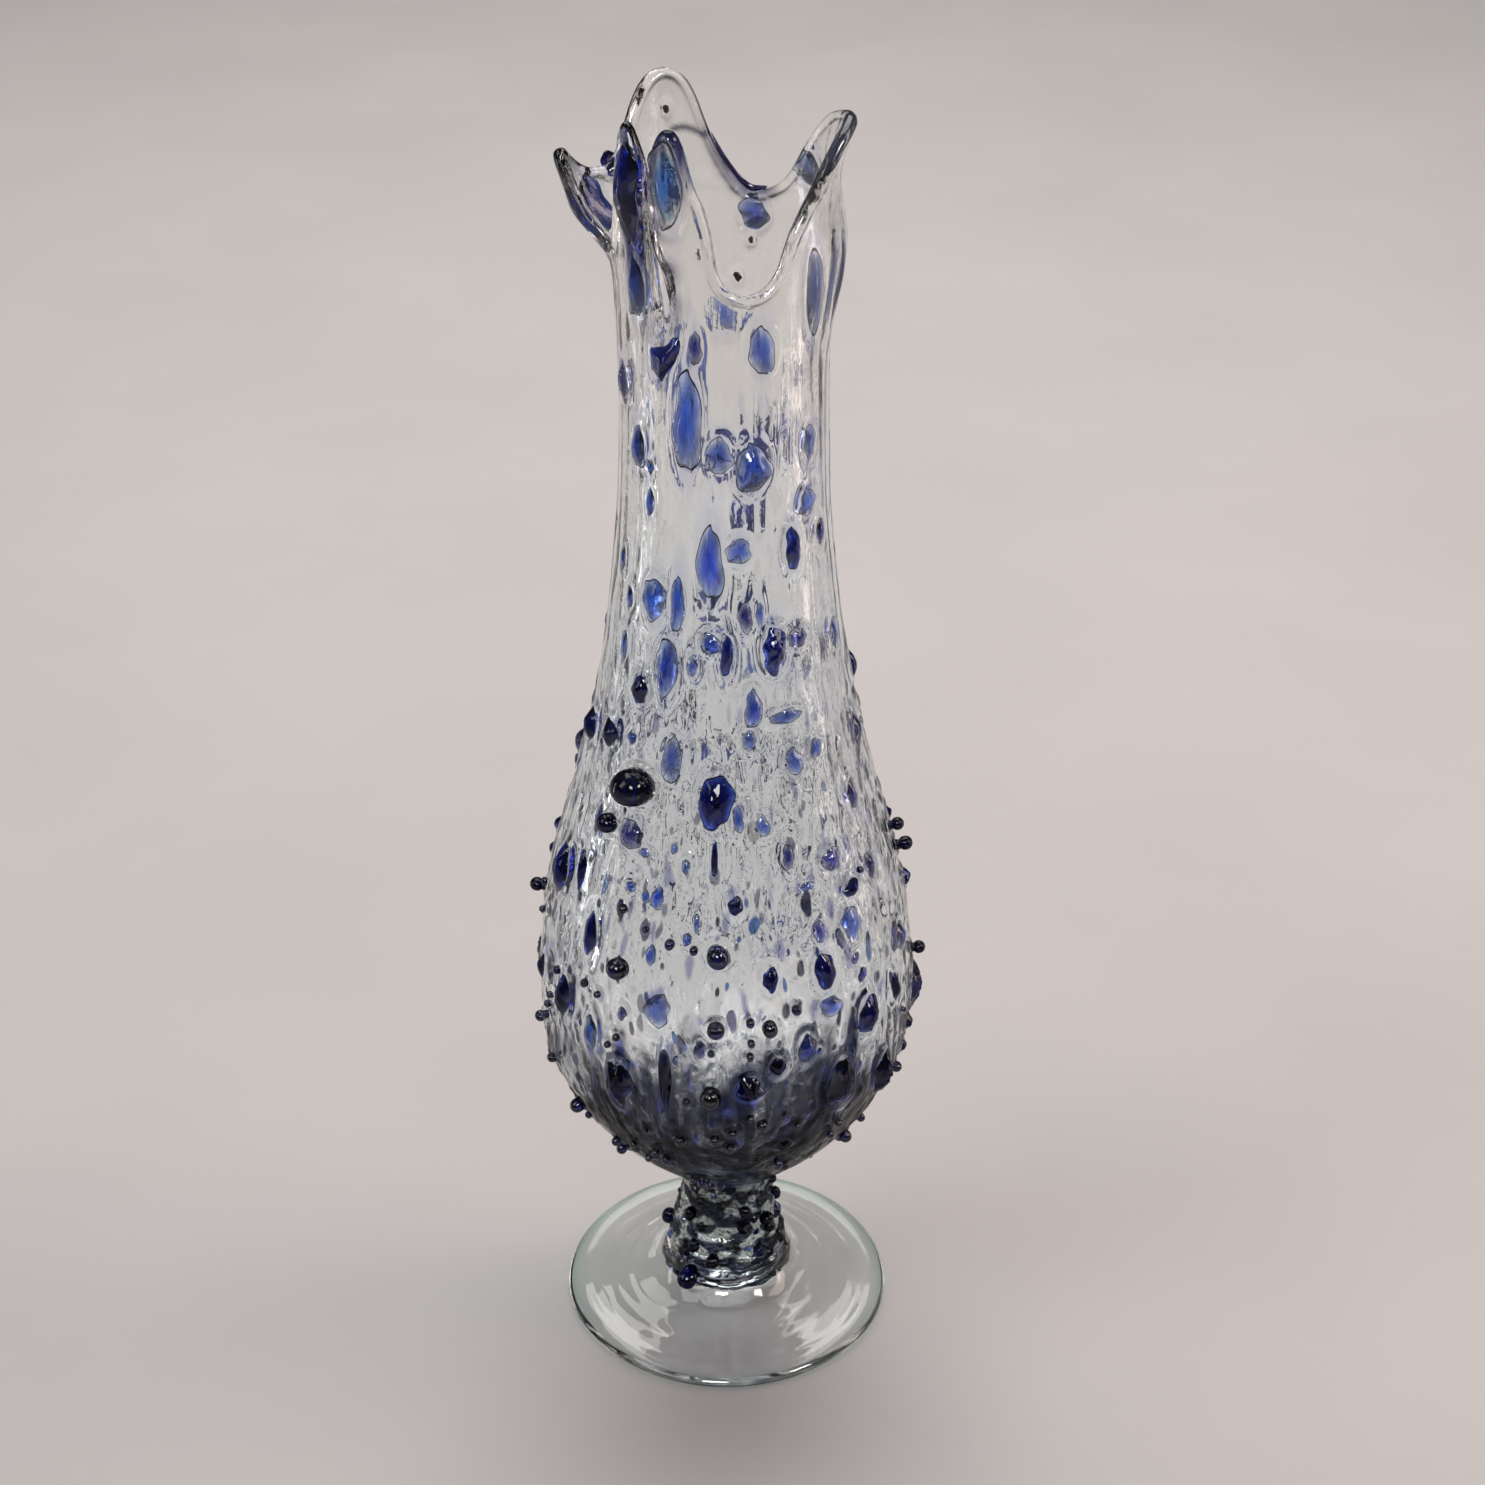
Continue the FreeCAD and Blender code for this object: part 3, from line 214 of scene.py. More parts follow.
drop_az = math.radians(-33.0)
DROP_AT = np.array([(SEAT_R + 3.4) * math.sin(drop_az), -(SEAT_R + 3.4) * math.cos(drop_az), SEAT_Z - 2.6])
taken = [(DROP_AT, 3.6, 4.6)]


def fits(place, az, z, w, h):
    p, n = place(az, z)
    a, b = w / 2 * 1.12 + 0.15, h / 2 * 1.12 + 0.15
    up = np.array([0, 0, 1.0]) - n * n[2]
    up /= np.linalg.norm(up)
    side = np.cross(up, n)
    best = 1.0
    for q, a2, b2 in taken:
        dd = q - p
        if dd @ dd > 900:
            continue
        x, y = dd @ side, dd @ up
        m = math.hypot(x, y)
        if m < 1e-6:
            return 0.0
        c, s = x / m, y / m
        best = min(best, (m - 1.0 / math.hypot(c / a2, s / b2)) * math.hypot(c / a, s / b))
    return best


def settle(place, items, floor=0.5):
    out = []
    for it in items:
        az, z, w, h, kind = it[:5]
        lean = it[5] if len(it) > 5 else 0.0
        f = fits(place, az, z, w, h)
        if f < floor or min(w * f, h * f) < 1.3:
            continue
        p, _ = place(az, z)
        taken.append((p, w * f / 2 * 1.12, h * f / 2 * 1.12))
        out.append((az, z, w * f, h * f, kind, lean))
    return out


def kinds(items, ks):
    return [i for i in items if i[4] in ks]


GROUPS = [
    ("proud_nubs", settle(on_wall0, NUBS)),
    ("rim_chips", settle(on_wall0, RIM_CHIPS)),
    ("rim_wash", settle(on_wall0, RIM_WASH)),
    ("rim_specks", settle(on_wall0, RIM_SPECKS)),
    ("neck_chips_blue", settle(on_wall0, kinds(NECK, "cdk"))),
    ("neck_chips_pale", settle(on_wall0, kinds(NECK, "pv"))),
    ("shoulder_drops", settle(on_wall0, kinds(SHOULDER, "dckBb"))),
    ("shoulder_flecks", settle(on_wall0, kinds(SHOULDER, "pv"))),
    ("belly_chunks", settle(on_wall0, kinds(BELLY, "dcks"))),
    ("belly_beads", settle(on_wall0, kinds(BELLY, "bB"))),
    ("belly_flecks", settle(on_wall0, kinds(BELLY, "pv"))),
    ("bowl_beads", settle(on_wall0, SEEDS, 0.85)),
]
FRIT = settle(on_stem0, FRIT, 0.6)

# ================================================================ relief of the outside wall
NA, Z0, DZ, NZ = 1440, 48.0, 0.4, 900
az_axis = -180.0 + 360.0 * (np.arange(NA) + 0.5) / NA
z_axis = Z0 + DZ * np.arange(NZ)
r_axis = profile(z_axis / K) * K
climb_axis = np.sqrt(np.maximum(0.04, 1.0 - outward(0.0, np.minimum(z_axis / K, 397.0))[:, 2] ** 2))


def noise(seed, w_deg, h_mm, ridge=False):
    """Smooth noise over the wall, periodic round it, with features about w_deg wide and h_mm tall."""
    g = np.random.default_rng(seed)
    white = g.standard_normal((NZ + 128, NA))
    fa = np.fft.fftfreq(NA, 360.0 / NA)[None, :]
    fz = np.fft.fftfreq(NZ + 128, DZ)[:, None]
    q = np.sqrt((fa * w_deg) ** 2 + (fz * h_mm) ** 2)
    filt = np.exp(-((q * 2.2) ** 2)) * (1 - np.exp(-((q * 5.0) ** 2)))
    m = np.fft.ifft2(np.fft.fft2(white) * filt).real[:NZ]
    m /= m.std()
    return np.abs(m) - 0.8 if ridge else m


def sample(m, az, z):
    u = ((np.asarray(az, float) + 180.0) / 360.0 * NA - 0.5) % NA
    v = np.clip((np.asarray(z, float) - Z0) / DZ, 0, NZ - 1.001)
    i, j = np.floor(u).astype(int) % NA, np.floor(v).astype(int)
    f, g = u - np.floor(u), v - j
    i1 = (i + 1) % NA
    f, g = (f[..., None], g[..., None]) if m.ndim == 3 else (f, g)
    return (m[j, i] * (1 - f) + m[j, i1] * f) * (1 - g) + (m[j + 1, i] * (1 - f) + m[j + 1, i1] * f) * g


def window(az, z, w, h, lean, reach):
    """Grid cells near a spot, with their offsets in millimetres and their elliptical distance from it."""
    j0 = max(0, int((z - h / 2 * reach - 1.5 - Z0) / DZ))
    j1 = min(NZ, int((z + h / 2 * reach + 1.5 - Z0) / DZ) + 1)
    r = max(6.0, float(profile(z / K)) * K)
    da = math.degrees((max(w, h * abs(math.sin(math.radians(lean)))) / 2 * reach + 1.5) / r)
    n = min(NA // 2 - 1, int(da / 360.0 * NA) + 1)
    ic = int((az + 180.0) / 360.0 * NA)
    ii = (ic + np.arange(-n, n + 1)) % NA
    jj = np.arange(j0, j1)
    x = np.radians(wrap(az_axis[ii] - az))[None, :] * r_axis[jj][:, None]
    y = (z_axis[jj] - z)[:, None] / climb_axis[jj][:, None]
    y = np.broadcast_to(y, x.shape)
    c, s = math.cos(math.radians(lean)), math.sin(math.radians(lean))
    x, y = x * c + y * s, -x * s + y * c
    return np.ix_(jj, ii), x, y, np.hypot(x / (w / 2), y / (h / 2))


ribs = 0.62 * noise(11, 11.0, 150.0) + 0.38 * noise(12, 6.0, 90.0)
creases = noise(13, 7.0, 60.0, ridge=True)
slivers = noise(14, 3.6, 16.0, ridge=True)
pebble = noise(15, 5.2, 10.0)
grit = noise(16, 2.6, 5.0)
zz = z_axis[:, None]
neckness = smooth((zz - 232.0) / 40.0)
rimness = smooth((zz - 338.0) / 20.0)
belly = smooth((zz - 88.0) / 22.0) * (1 - smooth((zz - 205.0) / 55.0))
low = 1 - smooth((zz - 84.0) / 16.0)
relief = (
    ribs * (0.17 + 0.07 * belly - 0.08 * rimness - 0.10 * low)
    + creases * (0.17 * neckness * (1 - 0.75 * rimness) + 0.16 * belly + 0.02)
    + slivers * (0.012 + 0.20 * belly)
    + pebble * (0.008 + 0.12 * belly + 0.03 * low)
    + grit * (0.002 + 0.035 * belly + 0.015 * low)
)
inner_relief = ribs * (0.10 - 0.05 * rimness - 0.06 * low) + creases * 0.05 * belly

# Small lens-shaped lumps and dimples between the coloured chips.
g = np.random.default_rng(7)
for k in range(2300):
    z = 84.0 + 150.0 * g.random() ** 1.15 if k % 6 else 235.0 + 100.0 * g.random()
    az = g.uniform(-180.0, 180.0)
    up = float(smooth((z - 215.0) / 50.0))
    w = g.uniform(1.6, 3.6) * (1 - 0.25 * up)
    h = w * g.uniform(1.2, 3.4) * (1 + 1.5 * up)
    a = g.choice([1.0, 1.0, -0.6]) * g.uniform(0.22, 0.55) * (1 - 0.74 * up) * min(1.0, w / 2.2)
    cells, x, y, d = window(az, z, w, h, g.uniform(-14, 14), 1.05)
    relief[cells] += a * np.clip(1 - d * d, 0, 1) ** 1.25
# Folds gathered up the narrow left lip, and a crease down the wide right one.
lipz = smooth((zz - 344.0) / 14.0)
aw = wrap(az_axis + 90.0)[None, :]
relief += 0.26 * np.cos(2 * np.pi * aw / 4.6 + 0.03 * (zz - 350.0)) * np.exp(-((aw / 13.0) ** 2)) * lipz
aw = wrap(az_axis - 96.0)[None, :]
relief += 0.3 * np.exp(-(((aw - 7.0) / 2.2) ** 2)) * smooth((zz - 300.0) / 30.0) - 0.25 * np.exp(-(((aw - 13.0) / 2.4) ** 2)) * smooth((zz - 290.0) / 40.0)
# Ring of glass drawn up round each chip, and a groove outside it.
for name, items in GROUPS:
    for az, z, w, h, kind, lean in items:
        small = min(w, h)
        up = {"N": 0.5, "B": 0.75, "b": 0.45, "c": 0.42, "d": 0.5, "k": 0.6, "s": 0.5, "v": 0.3, "p": 0.28, "r": 0.16, "e": 0.1}[kind]
        up *= min(1.0, 0.45 + small / 8.0)
        cells, x, y, d = window(az, z, w * 1.1, h * 1.1, lean, 1.0 + 6.0 / max(small, 2.0))
        out = (d - 1) * small / 2
        ring = np.where(d < 1, 1.0, np.exp(-((out / 0.8) ** 2)))
        ridge = np.exp(-(((out - 0.55) / 0.45) ** 2)) * (0.2 if kind in "cdkp" else 0.1)
        moat = np.exp(-(((out - 2.0) / 0.8) ** 2))
        relief[cells] = relief[cells] * (1 - 0.6 * ring) + up * ring + ridge - 0.35 * up * moat
relief = np.clip(relief, -0.9, 1.15)

# ================================================================ colour laid in the clear wall
CLEAR = np.array([0.89, 0.97, 1.0])
CLEAR_RIM = np.array([0.975, 0.985, 0.958])
# lower-bowl colour: partly the glass's own smoky tint, mostly painted shade for the dark surroundings seen through the
# glass
SMOKE_AND_TABLE_SHADE = np.array([0.006, 0.011, 0.052])
COBALT = np.array([0.025, 0.155, 0.80])
NAVY = np.array([0.005, 0.010, 0.19])
PALE = np.array([0.11, 0.22, 0.80])
VIOLET = np.array([0.055, 0.07, 0.38])
TEAL = np.array([0.10, 0.17, 0.19])
cool = (1 - smooth((z_axis - 235.0) / 120.0))[:, None, None]
tint = np.broadcast_to(CLEAR_RIM * (1 - cool) + CLEAR * cool, (NZ, NA, 3)).copy()


def wash(cells, amount, colour):
    a = np.clip(amount, 0, 1)[..., None]
    tint[cells] = tint[cells] * (1 - a) + colour * a


streak = 0.5 + 0.5 * np.clip(noise(21, 3.0, 14.0) * 0.7, -1, 1)
mott = 0.5 + 0.5 * np.clip(noise(22, 9.0, 12.0) * 0.6, -1, 1)
# Painted shade over the lower bowl, mixed with its smoky tint: it reaches higher on the side facing the camera (az 0)
# than at the back, as the dark surroundings seen through the glass do.
table_shade_top = 105.0 + 34.0 * np.cos(np.radians(az_axis))[None, :] + 6.0 * noise(25, 14.0, 18.0) + 6.0 * noise(26, 3.5, 12.0)
smoke_and_table_shade = (1 - smooth((zz - table_shade_top + 18.0) / 25.0)) * (0.86 + 0.14 * mott)
tint = tint * (1 - smoke_and_table_shade[..., None]) + SMOKE_AND_TABLE_SHADE * smoke_and_table_shade[..., None]
dust = np.clip(noise(23, 2.4, 6.5) - 1.35, 0, 1) * 1.6 * belly
tint = tint * (1 - np.clip(dust, 0, 0.8)[..., None]) + VIOLET * np.clip(dust, 0, 0.8)[..., None]
for name, items in GROUPS:
    for az, z, w, h, kind, lean in items:
        if kind in "bBNe" or name == "rim_specks":
            continue
        on_neck = z > 245.0
        cells, x, y, d = window(az, z + h * 0.08, w * (1.3 if on_neck else 1.45), h * (2.0 if on_neck else 1.5), lean, 1.3)
        colour = {"v": VIOLET * 0.5 + PALE * 0.5, "p": PALE}.get(kind, COBALT * 0.6 + PALE * 0.4)
        wash(cells, (0.68 if on_neck else 0.5) * np.clip(1.15 - d, 0, 1) ** 1.2 * (0.55 + 0.45 * streak[cells]), colour)
# the navy patch that wraps the outer face of the left lobe
lobe = np.exp(-(((wrap(az_axis + 49.0)[None, :] - 0.10 * (zz - 376.0)) / 10.0) ** 4) - (((zz - 375.0) / 15.0) ** 4))
tint = tint * (1 - 0.9 * lobe[..., None]) + NAVY * 0.5 * 0.9 * lobe[..., None]
# dark band across the tall back petal, running on along the rim beside it
band_z = 389.0 - 3.0 * smooth((np.abs(wrap(az_axis + 152.0)) - 6.0) / 16.0)
band_in = smooth((az_axis + 184.0) / 6.0) * (1 - smooth((az_axis + 153.0) / 5.0))
band = np.exp(-(((zz - band_z[None, :]) / 1.25) ** 4)) * band_in[None, :]
tint = tint * (1 - 0.95 * band[..., None]) + np.array([0.012, 0.010, 0.05]) * 0.95 * band[..., None]


def mesh_from(name, verts, faces, colours=None, mats=(), index=None, alpha=None):
    """verts in millimetres."""
    me = bpy.data.meshes.new(name)
    me.from_pydata((np.asarray(verts) / 1000.0).tolist(), [], faces)
    if colours is not None:
        col = np.ones((len(verts), 4), np.float32)
        col[:, :3] = colours
        col[:, 3] = 0.0 if alpha is None else alpha
        at = me.color_attributes.new("tint", "FLOAT_COLOR", "POINT")
        at.data.foreach_set("color", col.ravel())
    for m in mats:
        me.materials.append(m)
    if index is not None:
        me.polygons.foreach_set("material_index", np.asarray(index, np.int32))
    me.polygons.foreach_set("use_smooth", np.full(len(me.polygons), True))
    me.update()
    ob = bpy.data.objects.new(name, me)
    bpy.context.scene.collection.objects.link(ob)
    return ob


def clamp_box(v):
    lo = np.array(cad_lo) * 1000 + 0.02
    hi = np.array(cad_hi) * 1000 - 0.02
    lo[2] = max(lo[2], 0.0)
    return np.clip(v, lo, hi)


def ring_faces(n_rows, n_cols, start=0):
    j = np.arange(n_rows - 1)[:, None] * n_cols
    i = np.arange(n_cols)[None, :]
    i1 = (i + 1) % n_cols
    return (np.stack([j + i, j + i1, j + n_cols + i1, j + n_cols + i], -1).reshape(-1, 4) + start).tolist()


# ================================================================ materials
def nodes_of(name):
    mat = bpy.data.materials.new(name)
    mat.use_nodes = True
    nt = mat.node_tree
    nt.nodes.clear()
    return mat, nt


def add(nt, kind, **props):
    n = nt.nodes.new(kind)
    for k, v in props.items():
        if k in n.inputs:
            n.inputs[k].default_value = v
        else:
            setattr(n, k, v)
    return n


def glass(name, rough=0.012, ior=1.5, streaks=(900.0, 900.0, 60.0), bump=0.10, shade=0.25, cast=0.75, fine=0.0, haze=0.0, flecks=None, matt=0.0):
    """Blown glass: the tint attribute, broken up by drawn-out noise; a fine ripple in the surface; lamps shine through it."""
    mat, nt = nodes_of(name)
    link = nt.links.new
    out = add(nt, "ShaderNodeOutputMaterial")
    coord = add(nt, "ShaderNodeTexCoord")
    mapping = add(nt, "ShaderNodeMapping")
    mapping.inputs["Scale"].default_value = streaks
    link(coord.outputs["Object"], mapping.inputs["Vector"])
    drawn = add(nt, "ShaderNodeTexNoise", Scale=1.0, Detail=3.0, Roughness=0.55)
    link(mapping.outputs[0], drawn.inputs["Vector"])
    tint_at = add(nt, "ShaderNodeAttribute", attribute_name="tint")
    ramp = add(nt, "ShaderNodeMapRange")
    ramp.inputs["From Min"].default_value = 0.3
    ramp.inputs["From Max"].default_value = 0.7
    ramp.inputs["To Min"].default_value = 1.0 - shade
    ramp.inputs["To Max"].default_value = 1.0 + shade * 0.4
    link(drawn.outputs[0], ramp.inputs["Value"])
    mul = add(nt, "ShaderNodeVectorMath", operation="SCALE")
    link(tint_at.outputs["Color"], mul.inputs[0])
    link(ramp.outputs[0], mul.inputs["Scale"])
    low_ = add(nt, "ShaderNodeVectorMath", operation="MINIMUM")
    link(mul.outputs[0], low_.inputs[0])
    low_.inputs[1].default_value = (1.0, 1.0, 1.0)
    base_out, fleck_h = low_.outputs[0], None
    if flecks:  # crushed coloured glass too fine to be pieces of its own; the attribute's alpha says where it lies
        bend = add(nt, "ShaderNodeTexNoise", Scale=90.0, Detail=1.0)
        link(coord.outputs["Object"], bend.inputs["Vector"])
        push = add(nt, "ShaderNodeVectorMath", operation="MULTIPLY_ADD")
        link(bend.outputs["Color"], push.inputs[0])
        push.inputs[1].default_value = (0.004, 0.004, 0.008)
        link(coord.outputs["Object"], push.inputs[2])
        for scale_, least, most in flecks:
            fm = add(nt, "ShaderNodeMapping")
            fm.inputs["Scale"].default_value = scale_
            link(push.outputs[0], fm.inputs["Vector"])
            vor = add(nt, "ShaderNodeTexVoronoi", Scale=1.0)
            link(fm.outputs[0], vor.inputs["Vector"])
            sep = add(nt, "ShaderNodeSeparateColor")
            link(vor.outputs["Color"], sep.inputs[0])
            size = add(nt, "ShaderNodeMapRange")
            size.inputs["To Min"].default_value, size.inputs["To Max"].default_value = least, most
            link(sep.outputs[0], size.inputs["Value"])
            gap = add(nt, "ShaderNodeMath", operation="SUBTRACT")
            link(size.outputs[0], gap.inputs[0])
            link(vor.outputs["Distance"], gap.inputs[1])
            amount = add(nt, "ShaderNodeMapRange")
            amount.inputs["From Min"].default_value, amount.inputs["From Max"].default_value = -0.01, 0.06
            link(gap.outputs[0], amount.inputs["Value"])
            where = add(nt, "ShaderNodeMath", operation="MULTIPLY")
            link(amount.outputs[0], where.inputs[0])
            link(tint_at.outputs["Alpha"], where.inputs[1])
            hue = add(nt, "ShaderNodeValToRGB")
            hue.color_ramp.interpolation = "CONSTANT"
            el = hue.color_ramp.elements
            el[0].position, el[0].color = 0.0, (0.003, 0.004, 0.015, 1)
            el[1].position, el[1].color = 0.26, (0.035, 0.04, 0.07, 1)
            for pos, c in ((0.44, (0.002, 0.005, 0.08, 1)), (0.60, (0.04, 0.035, 0.10, 1)), (0.74, (0.14, 0.16, 0.20, 1)), (0.86, (0.02, 0.07, 0.32, 1))):
                e = el.new(pos)
                e.color = c
            link(sep.outputs[1], hue.inputs[0])
            mixc = add(nt, "ShaderNodeMix", data_type="RGBA")
            link(where.outputs[0], mixc.inputs[0])
            link(base_out, mixc.inputs[6])
            link(hue.outputs[0], mixc.inputs[7])
            base_out = mixc.outputs[2]
            if fleck_h is None:
                fleck_h = where.outputs[0]
            else:
                both = add(nt, "ShaderNodeMath", operation="MAXIMUM")
                link(fleck_h, both.inputs[0])
                link(where.outputs[0], both.inputs[1])
                fleck_h = both.outputs[0]
    bs = add(nt, "ShaderNodeBsdfPrincipled")
    link(base_out, bs.inputs["Base Color"])
    bs.inputs["IOR"].default_value = ior
    bs.inputs["Transmission Weight"].default_value = 1.0
    wear = add(nt, "ShaderNodeMapRange")
    wear.inputs["From Min"].default_value = 0.45
    wear.inputs["From Max"].default_value = 0.75
    wear.inputs["To Min"].default_value = rough
    wear.inputs["To Max"].default_value = rough + 0.02 + haze
    cloud = add(nt, "ShaderNodeTexNoise", Scale=38.0, Detail=4.0)
    link(coord.outputs["Object"], cloud.inputs["Vector"])
    link(cloud.outputs[0], wear.inputs["Value"])
    link(wear.outputs[0], bs.inputs["Roughness"])
    b = add(nt, "ShaderNodeBump", Strength=bump, Distance=0.0006)
    link(drawn.outputs[0], b.inputs["Height"])
    normal = b.outputs[0]
    if fine:
        ripple = add(nt, "ShaderNodeTexNoise", Scale=fine, Detail=2.0)
        link(coord.outputs["Object"], ripple.inputs["Vector"])
        b2 = add(nt, "ShaderNodeBump", Strength=0.18, Distance=0.0004)
        link(ripple.outputs[0], b2.inputs["Height"])
        link(normal, b2.inputs["Normal"])
        normal = b2.outputs[0]
    if fleck_h is not None:
        b3 = add(nt, "ShaderNodeBump", Strength=0.55, Distance=0.0005)
        link(fleck_h, b3.inputs["Height"])
        link(normal, b3.inputs["Normal"])
        normal = b3.outputs[0]
    link(normal, bs.inputs["Normal"])
    clear_ = add(nt, "ShaderNodeBsdfTransparent")
    soft = add(nt, "ShaderNodeVectorMath", operation="SCALE")
    link(base_out, soft.inputs[0])
    soft.inputs["Scale"].default_value = cast
    link(soft.outputs[0], clear_.inputs["Color"])
    body_out = bs.outputs[0]
    # The matt skin follows dark tint: the painted shade of the lower bowl and the dark glass are made less glossy.
    if matt:  # where the glass is smoked its skin is less glossy
        lum = add(nt, "ShaderNodeRGBToBW")
        link(tint_at.outputs["Color"], lum.inputs[0])
        dull = add(nt, "ShaderNodeMapRange")
        dull.inputs["From Min"].default_value, dull.inputs["From Max"].default_value = 0.03, 0.24
        dull.inputs["To Min"].default_value, dull.inputs["To Max"].default_value = matt, 0.0
        link(lum.outputs[0], dull.inputs["Value"])
        height = add(nt, "ShaderNodeSeparateXYZ")
        link(coord.outputs["Object"], height.inputs[0])
        low = add(nt, "ShaderNodeMapRange")
        low.inputs["From Min"].default_value, low.inputs["From Max"].default_value = 0.15, 0.20
        low.inputs["To Min"].default_value, low.inputs["To Max"].default_value = 1.0, 0.8
        link(height.outputs["Z"], low.inputs["Value"])
        both_ = add(nt, "ShaderNodeMath", operation="MULTIPLY")
        link(dull.outputs[0], both_.inputs[0])
        link(low.outputs[0], both_.inputs[1])
        through = add(nt, "ShaderNodeBsdfRefraction")
        through.inputs["IOR"].default_value = ior
        through.inputs["Roughness"].default_value = 0.03
        link(base_out, through.inputs["Color"])
        link(normal, through.inputs["Normal"])
        skin = add(nt, "ShaderNodeMixShader")
        link(both_.outputs[0], skin.inputs[0])
        link(body_out, skin.inputs[1])
        link(through.outputs[0], skin.inputs[2])
        body_out = skin.outputs[0]
    path = add(nt, "ShaderNodeLightPath")
    mix = add(nt, "ShaderNodeMixShader")
    link(path.outputs["Is Shadow Ray"], mix.inputs[0])
    link(body_out, mix.inputs[1])
    link(clear_.outputs[0], mix.inputs[2])
    mix2 = add(nt, "ShaderNodeMixShader")
    link(path.outputs["Is Diffuse Ray"], mix2.inputs[0])
    link(mix.outputs[0], mix2.inputs[1])
    link(clear_.outputs[0], mix2.inputs[2])
    link(mix2.outputs[0], out.inputs["Surface"])
    return mat


def joined(name):
    """Where two glass pieces are fused there is no surface to see."""
    mat, nt = nodes_of(name)
    out = add(nt, "ShaderNodeOutputMaterial")
    t = add(nt, "ShaderNodeBsdfTransparent")
    nt.links.new(t.outputs[0], out.inputs["Surface"])
    return mat


m_body = glass("blown_clear", rough=0.0, bump=0.06, shade=0.03, cast=0.97, fine=420.0, flecks=(((320.0, 320.0, 125.0), -0.22, 0.34), ((190.0, 190.0, 80.0), -0.16, 0.38), ((245.0, 245.0, 62.0), -0.26, 0.38)), matt=0.68)
m_stem = glass("stem_clear", rough=0.01, streaks=(420.0, 420.0, 160.0), bump=0.35, shade=0.2, cast=0.93, fine=500.0, matt=0.75)
m_foot = glass("foot_clear", rough=0.01, streaks=(60.0, 60.0, 60.0), bump=0.08, shade=0.03, cast=0.95, haze=0.10, matt=0.75)
m_navy = glass("navy_glass", rough=0.02, streaks=(500.0, 500.0, 220.0), bump=0.12, shade=0.5, cast=0.6, fine=600.0, matt=0.55)
m_cobalt = glass("cobalt_glass", rough=0.02, streaks=(700.0, 700.0, 90.0), bump=0.12, shade=0.6, cast=0.7, fine=500.0)
m_pale = glass("pale_glass", rough=0.03, streaks=(700.0, 700.0, 90.0), bump=0.12, shade=0.25, cast=0.85, fine=500.0)
m_violet = glass("violet_glass", rough=0.03, streaks=(600.0, 600.0, 160.0), bump=0.12, shade=0.35, cast=0.8, fine=500.0)
m_brown = glass("brown_glass", rough=0.05, streaks=(900.0, 900.0, 700.0), bump=0.2, shade=0.5, cast=0.5, fine=900.0)
m_fused = joined("fused_joint")

# ================================================================ blown body
COLS = np.concatenate([np.arange(-180, -46, 0.6), np.arange(-46, -32, 0.2), np.arange(-32, 180, 0.6)])
n_out, n_rim, n_in = 340, 70, 110
NC = len(COLS)
ts = np.linspace(0, 1, n_out)
body_z = 50.0 + (324.0 - 50.0) * ts
f_rim = 1 - (1 - np.linspace(0, 1, n_rim + 1)[1:]) ** 1.7
edge_s = np.arange(-180, 180, 0.25)
edge_z = rim_height(edge_s)
edge_x = np.radians(edge_s + swing(edge_s, edge_z)) * 30.0


def from_edge(s, z):
    x = np.radians(s + swing(s, z)) * 30.0
    best = np.full(x.shape, 1e9)
    for c in range(0, len(edge_s), 60):
        dx = (edge_x[c : c + 60][None, :] - x[:, None] + 94.248) % 188.496 - 94.248
        d = dx * dx + (edge_z[c : c + 60][None, :] - z[:, None]) ** 2
        best = np.minimum(best, d.min(1))
    return np.sqrt(best) * K


rows, cols_rgb = [], []
for z in body_z:
    p, n = outside(COLS, z), outward(COLS, z)
    d = sample(relief, COLS, np.full(NC, z * K)) * smooth((z - 50.0) / 6.0)
    rows.append(p + n * d[:, None])
    cols_rgb.append(sample(tint, COLS, np.full(NC, z * K)))


def rim_paint(s, e, rgb):
    """Dark glass gathered along parts of the rim; e is the distance from its edge in millimetres."""
    for a0, a1, reach, amount, colour in (
        (-37.5, -16.5, 3.4, 0.98, NAVY * 0.7), (-55.0, -41.5, 8.5, 0.95, NAVY * 0.5), (-99.0, -84.0, 4.0, 0.9, TEAL * 0.4), (82.0, 112.0, 0.9, 0.75, TEAL * 0.3),
        (148.0, 192.0, 2.6, 0.85, VIOLET * 0.4), (-184.0, -156.0, 1.1, 0.9, TEAL * 0.2), (58.0, 72.0, 0.8, 0.5, TEAL),
    ):
        mid, half = (a0 + a1) / 2, (a1 - a0) / 2
        k = amount * (1 - smooth((np.abs(wrap(s - mid)) - half * 0.7) / (half * 0.45))) * np.exp(-((e / reach) ** 2))
        rgb = rgb * (1 - k[:, None]) + colour * k[:, None]
    return rgb


rim_out, rim_in, rim_rgb, rim_rgb_in = [], [], [], []
for f in f_rim[:-1]:
    z = 324.0 + (rim_height(COLS) - 324.0) * f
    p, n, t = outside(COLS, z), outward(COLS, z), wall_table(z)
    e = from_edge(COLS, z)
    bead = 0.35 * np.exp(-(((e - 1.5) / 1.1) ** 2))
    half = t / 2 + bead
    hh = np.where(e >= half, half, np.sqrt(np.maximum(0.0, half**2 - (half - np.minimum(e, half)) ** 2)))
    fade = np.clip(e / 2.5, 0, 1)
    d = sample(relief, COLS, z * K) * fade
    di = sample(inner_relief, COLS, z * K) * fade
    rim_out.append(p - n * (t / 2 - hh - d)[:, None])
    rim_in.append(p - n * (t / 2 + hh - di)[:, None])
    rim_rgb.append(rim_paint(COLS, e, sample(tint, COLS, z * K)))
    rim_rgb_in.append(rim_paint(COLS, e, np.ones((NC, 3))))
z = rim_height(COLS)
